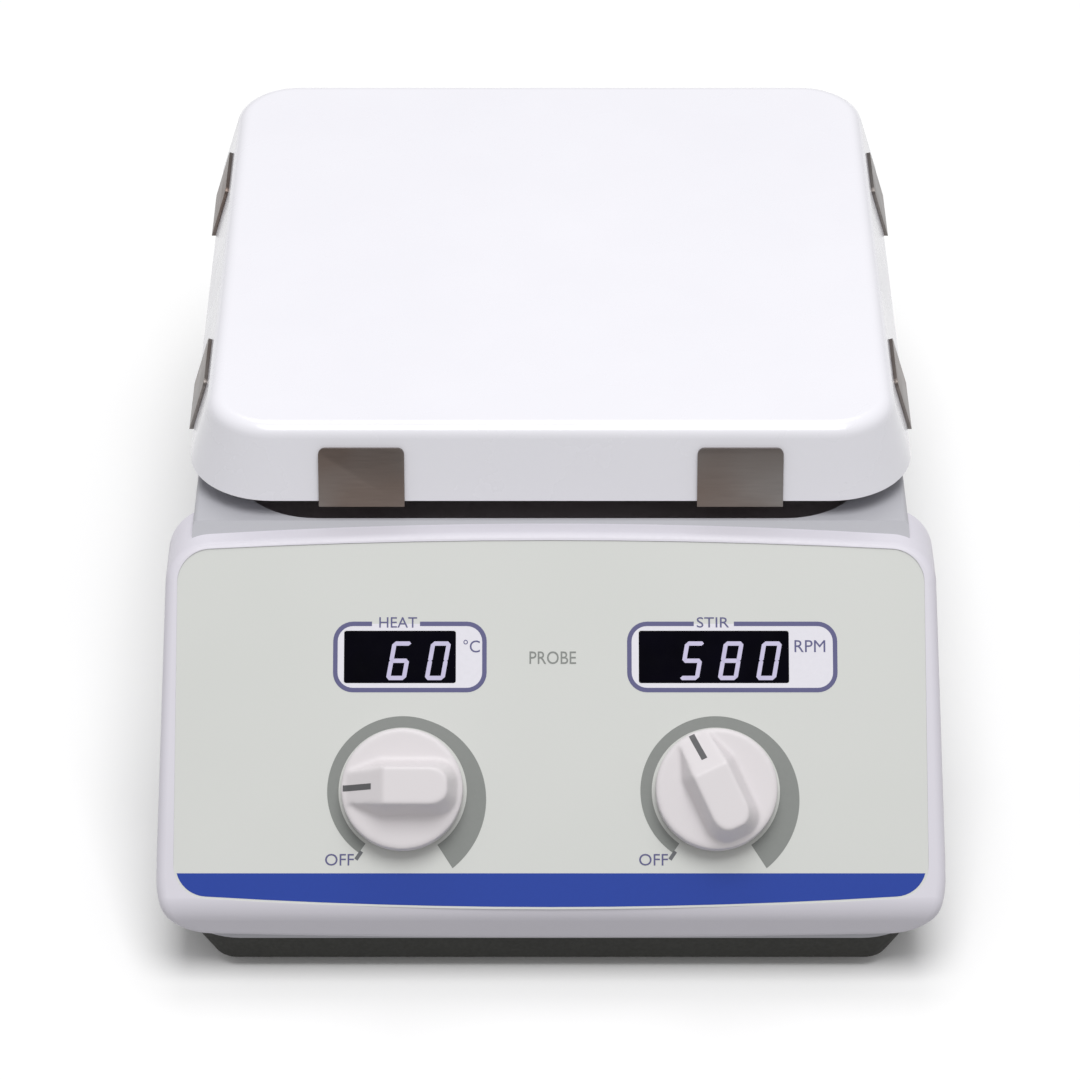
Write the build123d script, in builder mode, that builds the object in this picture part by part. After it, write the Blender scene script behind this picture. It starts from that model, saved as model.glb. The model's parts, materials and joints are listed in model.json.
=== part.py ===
"""Stirring hotplate: a bench magnetic stirrer with a heated square top plate.

+Z is up, the control panel faces -Y, and the origin is on the bench under the
middle of the unit. All sizes are in millimetres.
"""
import os
from math import cos, radians, sin

from build123d import *

os.makedirs("parts", exist_ok=True)

# ---- driving dimensions -------------------------------------------------------------
LENGTH = 306.0          # front lip to back wall, at the foot of the housing
PANEL_WIDTH = 208.8     # front moulding at its lower edge
FOOT_HEIGHT = 4.0
PAN_TOP = 12.0          # joint between the base pan and the upper housing
HOUSING_TOP = 96.0      # raised rim round the top plate
PLATE_SIZE = 184.0      # flat working surface, square
PLATE_TOP = 121.0
PLATE_HEIGHT = 20.0
PLATE_FLARE = 6.0       # how far the skirt leans out on each side
PLATE_Y = 24.0          # middle of the plate
PANEL_SLOPE = 45.0      # control panel, up from the horizontal
PANEL_LENGTH = 101.0    # along the slope
PANEL_LOW_Z = 24.0      # lower edge of the sloped face, above the lip
WALL = 3.0              # moulded walls
CLEARANCE = 0.15

# ---- control panel layout, along X and up the slope ---------------------------------
KNOB_X = (-39.3, 43.7)
KNOB_UP = 32.0
KNOB_R = 16.5
WINDOW_X = (-40.2, 43.4)
WINDOW_UP = 67.9
WINDOW_WIDTH = (29.9, 40.1)
WINDOW_HEIGHT = 14.1
WINDOW_CORNER = 0.8
WINDOW_GAP = 0.1
POINTER_ANGLE = (180.0, 115.0)   # where each pointer stands, counter-clockwise from +X
CONTROLS = ("heat", "stir")

# ---- worked-out values --------------------------------------------------------------
FRONT = -LENGTH / 2
BACK = LENGTH / 2
PLATE_RIM = PLATE_SIZE + 2 * PLATE_FLARE
PLATE_BOTTOM = PLATE_TOP - PLATE_HEIGHT
SKIRT_ANGLE = 16.7
SLOPE = radians(PANEL_SLOPE)
PANEL = Plane((0, FRONT, PANEL_LOW_Z), x_dir=(1, 0, 0), z_dir=(0, -sin(SLOPE), cos(SLOPE)))
PANEL_TOP_Y = FRONT + PANEL_LENGTH * cos(SLOPE)
PANEL_TOP_Z = PANEL_LOW_Z + PANEL_LENGTH * sin(SLOPE)


def keep(builder, label):
    """Name a finished piece and write it."""
    builder.part.label = label
    export_step(builder.part, f"parts/{label}.step")


def square_spots(x, y_front, y_back):
    """Four places, mirrored left to right."""
    return [(-x, y_front), (x, y_front), (-x, y_back), (x, y_back)]


# ---- upper housing ------------------------------------------------------------------
HOUSING_WIDTH = 201.0
HOUSING_FRONT = FRONT + 3.5
HOUSING_LENGTH = BACK - HOUSING_FRONT
HOUSING_MID = (BACK + HOUSING_FRONT) / 2
HOUSING_TAPER = 3.0
HOUSING_CORNER = 18.0
WEB_BACK = -3.5         # back of the bezel's web, below the panel face
DECK_FLOOR = 88.0       # bottom of the recess under the plate
DECK_UNDER = 85.5
RECESS_HALF = 85.0
RECESS_FRONT = -75.0
RECESS_BACK = 124.5
RECESS_CORNER = 22.0
STANDOFF_REACH = 62.0
STANDOFF_SPOTS = [(x, PLATE_Y + y) for x, y in square_spots(STANDOFF_REACH, -62.0, 62.0)]
MOTOR_SCREW_PITCH_R = 35.0
MOTOR_SCREW_HOLE_R = 1.7
STANDOFF_HOLE_R = 2.2
STANDOFF_SCREW_R = 2.0
SHAFT_HOLE_R = 8.0
BASE_SCREW_SPOTS = square_spots(80.0, -58.0, 112.0)
BASE_BOSS_R = 5.5
BASE_SCREW_R = 1.9
BASE_SCREW_TOP = 27.0
ROD_X, ROD_Y = 78.0, 136.5
ROD_TUBE_R = 9.0
ROD_TUBE_BOTTOM = 40.0
SET_SCREW_R = 2.5
SET_SCREW_Z = 80.0
BACK_PANEL_X = -10.0
BACK_PANEL_Z = 48.0
BACK_PANEL_WIDTH = 130.0
BACK_PANEL_HEIGHT = 48.0
BACK_PANEL_SEAT = 146.8
BACK_LEDGE = 4.0
BACK_LEDGE_FRONT = BACK_PANEL_SEAT - 2.5
BACK_PANEL_T = 1.5
BACK_FRAME = 8.0        # frame round the panel's opening, both sides together
BACK_SCREW_R = 1.0
BACK_SCREW_HEAD_R = 1.9
BACK_SCREW_HEAD_T = 1.5
BACK_SCREW_SPOTS = [(x, z) for x in (-73.0, 53.0) for z in (26.0, 70.0)]

with BuildPart() as housing_block:
    with BuildSketch(Plane.XY.offset(PAN_TOP)):
        with Locations((0, HOUSING_MID)):
            RectangleRounded(HOUSING_WIDTH, HOUSING_LENGTH, HOUSING_CORNER)
    extrude(amount=HOUSING_TOP - PAN_TOP, taper=HOUSING_TAPER)
    fillet(faces().sort_by(Axis.Z)[-1].edges(), radius=1.5)
    split(bisect_by=PANEL.offset(WEB_BACK), keep=Keep.BOTTOM)

with BuildPart() as housing_void:
    with BuildSketch(Plane.XY.offset(PAN_TOP)):
        with Locations((0, HOUSING_MID)):
            void_width = HOUSING_WIDTH - 2 * WALL
            RectangleRounded(void_width, HOUSING_LENGTH - 2 * WALL, HOUSING_CORNER - WALL)
    extrude(amount=DECK_UNDER - PAN_TOP, taper=HOUSING_TAPER)
    # frame that the back panel seats in
    ledge_depth = BACK - BACK_LEDGE_FRONT
    with Locations((BACK_PANEL_X, BACK_LEDGE_FRONT + ledge_depth / 2, BACK_PANEL_Z)):
        Box(BACK_PANEL_WIDTH + BACK_FRAME, ledge_depth, BACK_PANEL_HEIGHT + BACK_FRAME, mode=Mode.SUBTRACT)
    # pillars that take the base screws and the rod tube
    with Locations([(x, y, 0) for x, y in BASE_SCREW_SPOTS]):
        Cylinder(BASE_BOSS_R, HOUSING_TOP, align=(Align.CENTER, Align.CENTER, Align.MIN), mode=Mode.SUBTRACT)

with BuildPart() as upper_housing:
    add(housing_block.part)
    add(housing_void.part, mode=Mode.SUBTRACT)
    # recess under the plate
    with BuildSketch(Plane.XY.offset(DECK_FLOOR)):
        with Locations((0, (RECESS_FRONT + RECESS_BACK) / 2)):
            RectangleRounded(2 * RECESS_HALF, RECESS_BACK - RECESS_FRONT, RECESS_CORNER)
    extrude(amount=HOUSING_TOP, mode=Mode.SUBTRACT)
    # holes in the deck
    with BuildSketch(Plane.XY.offset(DECK_UNDER)):
        with Locations((0, PLATE_Y)):
            Circle(SHAFT_HOLE_R)
            with PolarLocations(MOTOR_SCREW_PITCH_R, 4, 45):
                Circle(MOTOR_SCREW_HOLE_R)
        with Locations(STANDOFF_SPOTS):
            Circle(STANDOFF_HOLE_R)
    extrude(amount=HOUSING_TOP, mode=Mode.SUBTRACT)
    with BuildSketch(Plane.XY.offset(ROD_TUBE_BOTTOM)):
        with Locations((ROD_X, ROD_Y)):
            Circle(ROD_TUBE_R)
    extrude(amount=HOUSING_TOP, mode=Mode.SUBTRACT)
    with BuildSketch(Plane.XY.offset(PAN_TOP)):
        with Locations(BASE_SCREW_SPOTS):
            Circle(BASE_SCREW_R)
    extrude(amount=BASE_SCREW_TOP - PAN_TOP, mode=Mode.SUBTRACT)
    # hole for the set screw that holds the rod
    with BuildSketch(Plane((ROD_X, BACK + 5, SET_SCREW_Z), x_dir=(-1, 0, 0), z_dir=(0, 1, 0))):
        Circle(SET_SCREW_R + CLEARANCE)
    extrude(amount=-(BACK + 5 - ROD_Y), mode=Mode.SUBTRACT)
    # opening for the back panel
    with Locations((BACK_PANEL_X, BACK_PANEL_SEAT, BACK_PANEL_Z)):
        seat = (Align.CENTER, Align.MIN, Align.CENTER)
        Box(BACK_PANEL_WIDTH, 20, BACK_PANEL_HEIGHT, align=seat, mode=Mode.SUBTRACT)
        Box(
            BACK_PANEL_WIDTH - 2 * BACK_LEDGE,
            20,
            BACK_PANEL_HEIGHT - 2 * BACK_LEDGE,
            mode=Mode.SUBTRACT,
        )
    with BuildSketch(Plane.XZ.offset(-BACK_LEDGE_FRONT)):
        with Locations(BACK_SCREW_SPOTS):
            Circle(BACK_SCREW_R)
    extrude(amount=-(BACK_PANEL_SEAT - BACK_LEDGE_FRONT), mode=Mode.SUBTRACT)
keep(upper_housing, "upper_housing")

# ---- front bezel --------------------------------------------------------------------
BEZEL_DEPTH = 12.0
BEZEL_DRAFT = 1.5       # each side narrows by this much up the slope
BEZEL_DRAFT_START = 12.0
BEZEL_EDGE_R = 2.5
LIP_ROUND = 7.0
LIP_UNDERCUT = 2.5      # the lip leans back under the panel
BEZEL_TOP_SAG = 3.6
BEZEL_TOP_CORNER = 12.0
BEZEL_LOW_CORNER = 15.0
BEZEL_LOW_SAG = 2.4
OVERLAY_DEPTH = 0.9
OVERLAY_T = 0.6
OVERLAY_HALF = 99.8
OVERLAY_LOW = 0.7       # lower edge of the label, at the middle
OVERLAY_LOW_SAG = 3.3
OVERLAY_HIGH = 99.4
OVERLAY_HIGH_SAG = 2.8
OVERLAY_CORNER = 9.0
BUSHING_R = 3.5
BOARD_FRONT = -13.4
BOARD_T = 1.6
BOARD_BOSS_SPOTS = [(x, up) for x in (-84.0, 84.0) for up in (22.0, 86.0)]
BOARD_BOSS_R = 3.0
BOARD_SCREW_R = 1.25
BOARD_SCREW_LENGTH = 8.0
BOARD_SCREW_HEAD_R = 2.4
SCREW_HEAD_T = 1.8       # small pan heads
lower_half = PANEL_WIDTH / 2
upper_half = lower_half - BEZEL_DRAFT

with BuildSketch() as overlay_outline:
    with BuildLine():
        low = ThreePointArc(
            (-OVERLAY_HALF, OVERLAY_LOW + OVERLAY_LOW_SAG),
            (0, OVERLAY_LOW),
            (OVERLAY_HALF, OVERLAY_LOW + OVERLAY_LOW_SAG),
        )
        high = ThreePointArc(
            (OVERLAY_HALF, OVERLAY_HIGH - OVERLAY_HIGH_SAG),
            (0, OVERLAY_HIGH),
            (-OVERLAY_HALF, OVERLAY_HIGH - OVERLAY_HIGH_SAG),
        )
        Line(low @ 1, high @ 0)
        Line(high @ 1, low @ 0)
    make_face()
    fillet(vertices(), OVERLAY_CORNER)

with BuildSketch() as window_holes:
    for window_x, window_width in zip(WINDOW_X, WINDOW_WIDTH):
        with Locations((window_x, WINDOW_UP)):
            RectangleRounded(window_width, WINDOW_HEIGHT, WINDOW_CORNER)

with BuildPart() as bezel_block:
    # side view: sloped face, lip, underside and sloped back
    with BuildSketch(Plane.YZ.offset(-PANEL_WIDTH / 2)):
        with BuildLine():
            Polyline(
                (PANEL_TOP_Y, PANEL_TOP_Z),
                (FRONT, PANEL_LOW_Z),
                (FRONT + LIP_UNDERCUT, PAN_TOP),
                (FRONT + BEZEL_DEPTH * sin(SLOPE), PAN_TOP),
                (PANEL_TOP_Y + BEZEL_DEPTH / sin(SLOPE), PANEL_TOP_Z),
                close=True,
            )
        make_face()
        fillet(vertices().group_by(Axis.X)[0].sort_by(Axis.Y)[-1], LIP_ROUND)
    extrude(amount=PANEL_WIDTH)
    # outline on the panel face, carried straight back
    with BuildSketch(PANEL):
        with BuildLine():
            top = ThreePointArc(
                (-upper_half, PANEL_LENGTH - BEZEL_TOP_SAG),
                (0, PANEL_LENGTH),
                (upper_half, PANEL_LENGTH - BEZEL_TOP_SAG),
            )
            Polyline(
                top @ 1,
                (lower_half, BEZEL_DRAFT_START),
                (lower_half, -PANEL_LENGTH),
                (-lower_half, -PANEL_LENGTH),
                (-lower_half, BEZEL_DRAFT_START),
                top @ 0,
            )
        make_face()
        fillet(vertices().group_by(Axis.Y)[-1], BEZEL_TOP_CORNER)
    extrude(amount=PANEL_LENGTH, dir=(0, 1, 0), mode=Mode.INTERSECT)
    # outline seen from the front
    with BuildSketch(Plane.XZ.offset(-BACK)):
        with BuildLine():
            under = ThreePointArc(
                (-lower_half, PAN_TOP + BEZEL_LOW_SAG),
                (0, PAN_TOP),
                (lower_half, PAN_TOP + BEZEL_LOW_SAG),
            )
            Polyline(under @ 1, (lower_half, PLATE_TOP), (-lower_half, PLATE_TOP), under @ 0)
        make_face()
        fillet(vertices().group_by(Axis.Y)[0], BEZEL_LOW_CORNER)
    extrude(amount=2 * LENGTH, mode=Mode.INTERSECT)
    # soften the whole front outline
    front_faces = faces().filter_by(lambda face: face.normal_at().Y < -0.6)
    front_edges = front_faces.edges()
    outline = front_edges.filter_by(lambda edge: sum(edge.is_same(other) for other in front_edges) == 1)
    fillet(outline, BEZEL_EDGE_R)

with BuildPart() as front_bezel:
    add(bezel_block.part)
    add(housing_block.part, mode=Mode.SUBTRACT)
    with BuildSketch(PANEL):
        add(overlay_outline.sketch)
    extrude(amount=-OVERLAY_DEPTH, mode=Mode.SUBTRACT)
    with BuildSketch(PANEL.offset(BOARD_FRONT)):
        with Locations(BOARD_BOSS_SPOTS):
            Circle(BOARD_BOSS_R)
    extrude(amount=WEB_BACK - BOARD_FRONT)
    with BuildSketch(PANEL):
        add(window_holes.sketch)
        with Locations([(x, KNOB_UP) for x in KNOB_X]):
            Circle(BUSHING_R + CLEARANCE)
    extrude(amount=2 * WEB_BACK, mode=Mode.SUBTRACT)
    with BuildSketch(PANEL.offset(BOARD_FRONT)):
        with Locations(BOARD_BOSS_SPOTS):
            Circle(BOARD_SCREW_R)
    extrude(amount=BOARD_SCREW_LENGTH, mode=Mode.SUBTRACT)
keep(front_bezel, "front_bezel")

# ---- printed label and display windows ----------------------------------------------
LENS_T = 3.0
LENS_FRONT = -0.5
KNOB_CLEAR_R = 8.0

with BuildPart() as panel_overlay:
    with BuildSketch(PANEL.offset(-OVERLAY_DEPTH)):
        add(overlay_outline.sketch)
        add(window_holes.sketch, mode=Mode.SUBTRACT)
        with Locations([(x, KNOB_UP) for x in KNOB_X]):
            Circle(KNOB_CLEAR_R, mode=Mode.SUBTRACT)
    extrude(amount=OVERLAY_T)
keep(panel_overlay, "panel_overlay")

DIGIT_HEIGHT = 8.9
DIGIT_MARGIN = 1.0
for control, window_x, window_width in zip(CONTROLS, WINDOW_X, WINDOW_WIDTH):
    with BuildPart() as window:
        with BuildSketch(PANEL.offset(LENS_FRONT)):
            with Locations((window_x, WINDOW_UP)):
                RectangleRounded(window_width - WINDOW_GAP, WINDOW_HEIGHT - WINDOW_GAP, WINDOW_CORNER)
        extrude(amount=-LENS_T)
    keep(window, f"{control}_window")

    # moulded block of seven-segment digits, soldered to the display board
    with BuildPart() as digits:
        with BuildSketch(PANEL.offset(BOARD_FRONT)):
            with Locations((window_x, WINDOW_UP)):
                Rectangle(window_width - DIGIT_MARGIN, WINDOW_HEIGHT - DIGIT_MARGIN)
        extrude(amount=DIGIT_HEIGHT)
    keep(digits, f"{control}_digits")

# ---- control knobs and potentiometers -----------------------------------------------
KNOB_FOOT = 0.3         # underside of the knob, above the panel face
KNOB_DISC_TOP = 6.3
KNOB_TOP = 14.0
KNOB_WALL = 2.5
KNOB_EDGE_R = 1.5
KNOB_WELL_TOP = 4.2
GRIP_WIDTH = 16.0       # across the foot of the grip
GRIP_REACH = 15.6       # rounded end of the grip, from the axis
GRIP_END_ROUND = 6.0
GRIP_LEAN = 26.0        # slope of its walls
RAMP_START = 15.8       # pointer end of the grip slopes down to the disc here
RAMP_END = 7.0
POINTER_OUT = 16.0
POINTER_IN = 8.0
POINTER_WIDTH = 1.5
POINTER_DEPTH = 0.4
SHAFT_R = 3.0
SHAFT_BACK = -12.0
SHAFT_TIP = 11.0
POT_R = 8.25
BUSHING_TIP = 3.0
POT_NUT_T = 2.0
POT_NUT_AF = 10.0
RUNNING = 0.05

for control, knob_x, angle in zip(CONTROLS, KNOB_X, POINTER_ANGLE):
    # plane at the knob's axis, with local X along the pointer
    axis_point = PANEL.from_local_coords(Vector(knob_x, KNOB_UP, 0))
    pointer_dir = PANEL.from_local_coords(Vector(1, 0, 0).rotate(Axis.Z, angle)) - PANEL.origin
    axis_plane = Plane(axis_point, x_dir=pointer_dir, z_dir=PANEL.z_dir)
    ramp_rise = KNOB_TOP - KNOB_DISC_TOP
    pointer_top = KNOB_TOP - ramp_rise * (POINTER_IN - RAMP_END) / (RAMP_START - RAMP_END)

    with BuildPart() as grip:
        with BuildSketch(axis_plane.offset(KNOB_DISC_TOP - 1)):
            with Locations((0, 0)):
                Rectangle(2 * GRIP_REACH, GRIP_WIDTH + 1)
            fillet(vertices().sort_by(Axis.X)[0:2], GRIP_END_ROUND)
        extrude(amount=ramp_rise + 1, taper=GRIP_LEAN)
        # ramp at the pointer end
        side = Plane(axis_plane.origin, x_dir=axis_plane.x_dir, z_dir=-axis_plane.y_dir)
        with BuildSketch(side):
            Polygon(
                (RAMP_START, KNOB_DISC_TOP),
                (RAMP_END, KNOB_TOP),
                (RAMP_END, KNOB_TOP + 10),
                (3 * RAMP_START, KNOB_TOP + 10),
                (3 * RAMP_START, KNOB_DISC_TOP),
                align=None,
            )
        extrude(amount=KNOB_R, both=True, mode=Mode.SUBTRACT)
        with BuildSketch(axis_plane):
            Circle(KNOB_R - 0.2)
        extrude(amount=KNOB_TOP, mode=Mode.INTERSECT)

    with BuildPart() as pointer:
        with BuildSketch(side):
            Polygon(
                (POINTER_IN, pointer_top),
                (POINTER_OUT, KNOB_DISC_TOP),
                (POINTER_OUT, KNOB_DISC_TOP - 2 * POINTER_DEPTH),
                (POINTER_IN, pointer_top - 2 * POINTER_DEPTH),
                align=None,
            )
        extrude(amount=POINTER_WIDTH / 2, both=True)
    keep(pointer, f"{control}_pointer")

    with BuildPart() as knob:
        with BuildSketch(axis_plane.offset(KNOB_FOOT)):
            Circle(KNOB_R)
        extrude(amount=KNOB_DISC_TOP - KNOB_FOOT)
        fillet(edges().filter_by(GeomType.CIRCLE).sort_by(Axis(axis_point, PANEL.z_dir))[-1], KNOB_EDGE_R)
        add(grip.part)
        with BuildSketch(axis_plane.offset(KNOB_FOOT)):
            Circle(KNOB_R - KNOB_WALL)
        extrude(amount=KNOB_WELL_TOP - KNOB_FOOT, mode=Mode.SUBTRACT)
        with BuildSketch(axis_plane.offset(KNOB_FOOT)):
            Circle(SHAFT_R)
        extrude(amount=SHAFT_TIP - KNOB_FOOT, mode=Mode.SUBTRACT)
        add(pointer.part, mode=Mode.SUBTRACT)
    keep(knob, f"{control}_knob")

    with BuildPart() as shaft:
        with BuildSketch(axis_plane.offset(SHAFT_BACK)):
            Circle(SHAFT_R)
        extrude(amount=SHAFT_TIP - SHAFT_BACK)
    keep(shaft, f"{control}_pot_shaft")

    with BuildPart() as potentiometer:
        with BuildSketch(axis_plane.offset(BOARD_FRONT)):
            Circle(POT_R)
        extrude(amount=WEB_BACK - BOARD_FRONT)
        with BuildSketch(axis_plane.offset(WEB_BACK)):
            Circle(BUSHING_R)
        extrude(amount=BUSHING_TIP - WEB_BACK)
        with BuildSketch(axis_plane.offset(SHAFT_BACK - 1)):
            Circle(SHAFT_R + RUNNING)
        extrude(amount=BUSHING_TIP - SHAFT_BACK + 2, mode=Mode.SUBTRACT)
    keep(potentiometer, f"{control}_potentiometer")

    with BuildPart() as nut:
        with BuildSketch(axis_plane.offset(-OVERLAY_DEPTH)):
            RegularPolygon(POT_NUT_AF / 2, 6, major_radius=False)
            Circle(BUSHING_R, mode=Mode.SUBTRACT)
        extrude(amount=POT_NUT_T)
    keep(nut, f"{control}_pot_nut")

# ---- display board ------------------------------------------------------------------
DISPLAY_BOARD_UP = 54.0
DISPLAY_BOARD_WIDTH, DISPLAY_BOARD_HEIGHT = 176.0, 76.0
DISPLAY_BOARD_CORNER = 2.0

with BuildPart() as display_board:
    with BuildSketch(PANEL.offset(BOARD_FRONT - BOARD_T)):
        with Locations((0, DISPLAY_BOARD_UP)):
            RectangleRounded(DISPLAY_BOARD_WIDTH, DISPLAY_BOARD_HEIGHT, DISPLAY_BOARD_CORNER)
        with Locations(BOARD_BOSS_SPOTS):
            Circle(BOARD_SCREW_R, mode=Mode.SUBTRACT)
    extrude(amount=BOARD_T)
keep(display_board, "display_board")

with BuildPart() as display_board_screws:
    with BuildSketch(PANEL.offset(BOARD_FRONT - BOARD_T - SCREW_HEAD_T)):
        with Locations(BOARD_BOSS_SPOTS):
            Circle(BOARD_SCREW_HEAD_R)
    extrude(amount=SCREW_HEAD_T)
    with BuildSketch(PANEL.offset(BOARD_FRONT - BOARD_T)):
        with Locations(BOARD_BOSS_SPOTS):
            Circle(BOARD_SCREW_R)
    extrude(amount=BOARD_SCREW_LENGTH)
keep(display_board_screws, "display_board_screws")

# ---- heated top plate ---------------------------------------------------------------
PLATE_CORNER = 23.0
PLATE_WALL = 5.0
PLATE_SKIN = 5.0
PLATE_EDGE_R = 4.5
HEATER_T = 2.0
HEATER_SIZE = 170.0
HEATER_CORNER = 10.0
CARRIER_T = 1.5
CARRIER_SIZE = 184.0
CARRIER_CORNER = 17.0
CARRIER_TRAY = 176.0
TRAY_INNER = CARRIER_TRAY - 2 * CARRIER_T
TRAY_CORNER = 14.0
TRAY_GAP = 0.2
CARRIER_TRAY_TOP = 112.0
PLATE_CEILING = PLATE_TOP - PLATE_SKIN
SENSOR_R = 3.0

with BuildPart() as ceramic_top:
    with BuildSketch(Plane.XY.offset(PLATE_BOTTOM)):
        with Locations((0, PLATE_Y)):
            RectangleRounded(PLATE_RIM, PLATE_RIM, PLATE_CORNER)
    extrude(amount=PLATE_HEIGHT, taper=SKIRT_ANGLE)
    fillet(faces().sort_by(Axis.Z)[-1].edges(), radius=PLATE_EDGE_R)
    with BuildSketch(Plane.XY.offset(PLATE_BOTTOM)):
        with Locations((0, PLATE_Y)):
            inner = PLATE_RIM - 2 * PLATE_WALL
            RectangleRounded(inner, inner, PLATE_CORNER - PLATE_WALL)
    extrude(amount=PLATE_HEIGHT - PLATE_SKIN, taper=SKIRT_ANGLE, mode=Mode.SUBTRACT)
keep(ceramic_top, "ceramic_top")

with BuildPart() as heater_plate:
    with BuildSketch(Plane.XY.offset(PLATE_CEILING - HEATER_T)):
        with Locations((0, PLATE_Y)):
            RectangleRounded(HEATER_SIZE, HEATER_SIZE, HEATER_CORNER)
    extrude(amount=HEATER_T)
keep(heater_plate, "heater_plate")

with BuildPart() as carrier_pan:
    with BuildSketch(Plane.XY.offset(PLATE_BOTTOM)):
        with Locations((0, PLATE_Y)):
            RectangleRounded(CARRIER_SIZE, CARRIER_SIZE, CARRIER_CORNER)
        with Locations(STANDOFF_SPOTS):
            Circle(STANDOFF_SCREW_R, mode=Mode.SUBTRACT)
    extrude(amount=CARRIER_T)
    with BuildSketch(Plane.XY.offset(PLATE_BOTTOM + CARRIER_T)):
        with Locations((0, PLATE_Y)):
            RectangleRounded(CARRIER_TRAY, CARRIER_TRAY, TRAY_CORNER)
            RectangleRounded(TRAY_INNER, TRAY_INNER, TRAY_CORNER - CARRIER_T, mode=Mode.SUBTRACT)
    extrude(amount=CARRIER_TRAY_TOP - PLATE_BOTTOM - CARRIER_T)
keep(carrier_pan, "carrier_pan")

with BuildPart() as insulation_board:
    with BuildSketch(Plane.XY.offset(PLATE_BOTTOM + CARRIER_T)):
        with Locations((0, PLATE_Y)):
            board_size = TRAY_INNER - 2 * TRAY_GAP
            RectangleRounded(board_size, board_size, TRAY_CORNER - CARRIER_T - TRAY_GAP)
            Circle(SENSOR_R + CLEARANCE, mode=Mode.SUBTRACT)
    extrude(amount=PLATE_CEILING - HEATER_T - PLATE_BOTTOM - CARRIER_T)
keep(insulation_board, "insulation_board")

with BuildPart() as temperature_sensor:
    with BuildSketch(Plane.XY.offset(PLATE_BOTTOM + CARRIER_T)):
        with Locations((0, PLATE_Y)):
            Circle(SENSOR_R)
    extrude(amount=PLATE_CEILING - HEATER_T - PLATE_BOTTOM - CARRIER_T)
keep(temperature_sensor, "temperature_sensor")

# stainless clips hug the skirt, wrap under its rim and screw to the carrier pan
CLIP_T = 1.0
CLIP_WIDTH = 23.0
CLIP_RISE = 15.0
CLIP_TOE = 86.0         # inner end, from the middle of the plate
CLIP_SPREAD = 50.7
CLIP_CORNER = 1.8
CLIP_SCREW_REACH = 89.0
CLIP_SCREW_R = 1.5
CLIP_SCREW_HEAD_R = 2.6
lean = radians(SKIRT_ANGLE)
rim = PLATE_RIM / 2
leg_top = (rim - CLIP_RISE * sin(lean), PLATE_BOTTOM + CLIP_RISE * cos(lean))
leg_out = (leg_top[0] + CLIP_T * cos(lean), leg_top[1] + CLIP_T * sin(lean))
heel = rim + CLIP_T * (1 + sin(lean)) / cos(lean)
SIDES = {"right": 0, "back": 90, "left": 180, "front": 270}

for side_name, turn in SIDES.items():
    outward = Vector(1, 0, 0).rotate(Axis.Z, turn)
    with BuildPart() as clips:
        for spread in (-CLIP_SPREAD, CLIP_SPREAD):
            middle = Vector(0, PLATE_Y, 0) + Vector(0, spread, 0).rotate(Axis.Z, turn)
            section = Plane(middle, x_dir=outward, z_dir=outward.cross(Vector(0, 0, 1)))
            with BuildSketch(section) as clip_section:
                Polygon(
                    leg_top,
                    leg_out,
                    (heel, PLATE_BOTTOM - CLIP_T),
                    (CLIP_TOE, PLATE_BOTTOM - CLIP_T),
                    (CLIP_TOE, PLATE_BOTTOM),
                    (rim, PLATE_BOTTOM),
                    align=None,
                )
            extrude(amount=CLIP_WIDTH / 2, both=True)
        leg_lean = Vector(cos(lean), 0, sin(lean)).rotate(Axis.Z, turn)
        top_corners = edges().filter_by(Axis((0, 0, 0), leg_lean)).group_by(Axis.Z)[-1]
        fillet(top_corners, CLIP_CORNER)
        with BuildSketch(Plane.XY.offset(PLATE_BOTTOM - CLIP_T)):
            for spread in (-CLIP_SPREAD, CLIP_SPREAD):
                spot = Vector(0, PLATE_Y, 0) + Vector(CLIP_SCREW_REACH, spread, 0).rotate(Axis.Z, turn)
                with Locations((spot.X, spot.Y)):
                    Circle(CLIP_SCREW_R)
        extrude(amount=CLIP_T, mode=Mode.SUBTRACT)
    keep(clips, f"{side_name}_clips")

CLIP_SCREW_SPOTS = [
    tuple(Vector(0, PLATE_Y, 0) + Vector(CLIP_SCREW_REACH, spread, 0).rotate(Axis.Z, turn))[:2]
    for turn in SIDES.values()
    for spread in (-CLIP_SPREAD, CLIP_SPREAD)
]
with BuildPart() as clip_screws:
    with BuildSketch(Plane.XY.offset(PLATE_BOTTOM - CLIP_T - SCREW_HEAD_T)):
        with Locations(CLIP_SCREW_SPOTS):
            Circle(CLIP_SCREW_HEAD_R)
    extrude(amount=SCREW_HEAD_T)
    with BuildSketch(Plane.XY.offset(PLATE_BOTTOM - CLIP_T)):
        with Locations(CLIP_SCREW_SPOTS):
            Circle(CLIP_SCREW_R)
    extrude(amount=CLIP_T)
keep(clip_screws, "clip_screws")

STANDOFF_AF = 10.0      # across the flats of the hexagon
STANDOFF_HEAD_R = 3.8
STANDOFF_HEAD_T = 2.6

with BuildPart() as plate_standoffs:
    with BuildSketch(Plane.XY.offset(DECK_FLOOR)):
        with Locations(STANDOFF_SPOTS):
            RegularPolygon(STANDOFF_AF / 2, 6, major_radius=False)
            Circle(STANDOFF_HOLE_R, mode=Mode.SUBTRACT)
    extrude(amount=PLATE_BOTTOM - DECK_FLOOR)
keep(plate_standoffs, "plate_standoffs")

with BuildPart() as standoff_screws:
    with BuildSketch(Plane.XY.offset(DECK_UNDER - STANDOFF_HEAD_T)):
        with Locations(STANDOFF_SPOTS):
            Circle(STANDOFF_HEAD_R)
    extrude(amount=STANDOFF_HEAD_T)
    with BuildSketch(Plane.XY.offset(DECK_UNDER)):
        with Locations(STANDOFF_SPOTS):
            Circle(STANDOFF_SCREW_R)
    extrude(amount=PLATE_BOTTOM + CARRIER_T - DECK_UNDER)
keep(standoff_screws, "standoff_screws")

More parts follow.
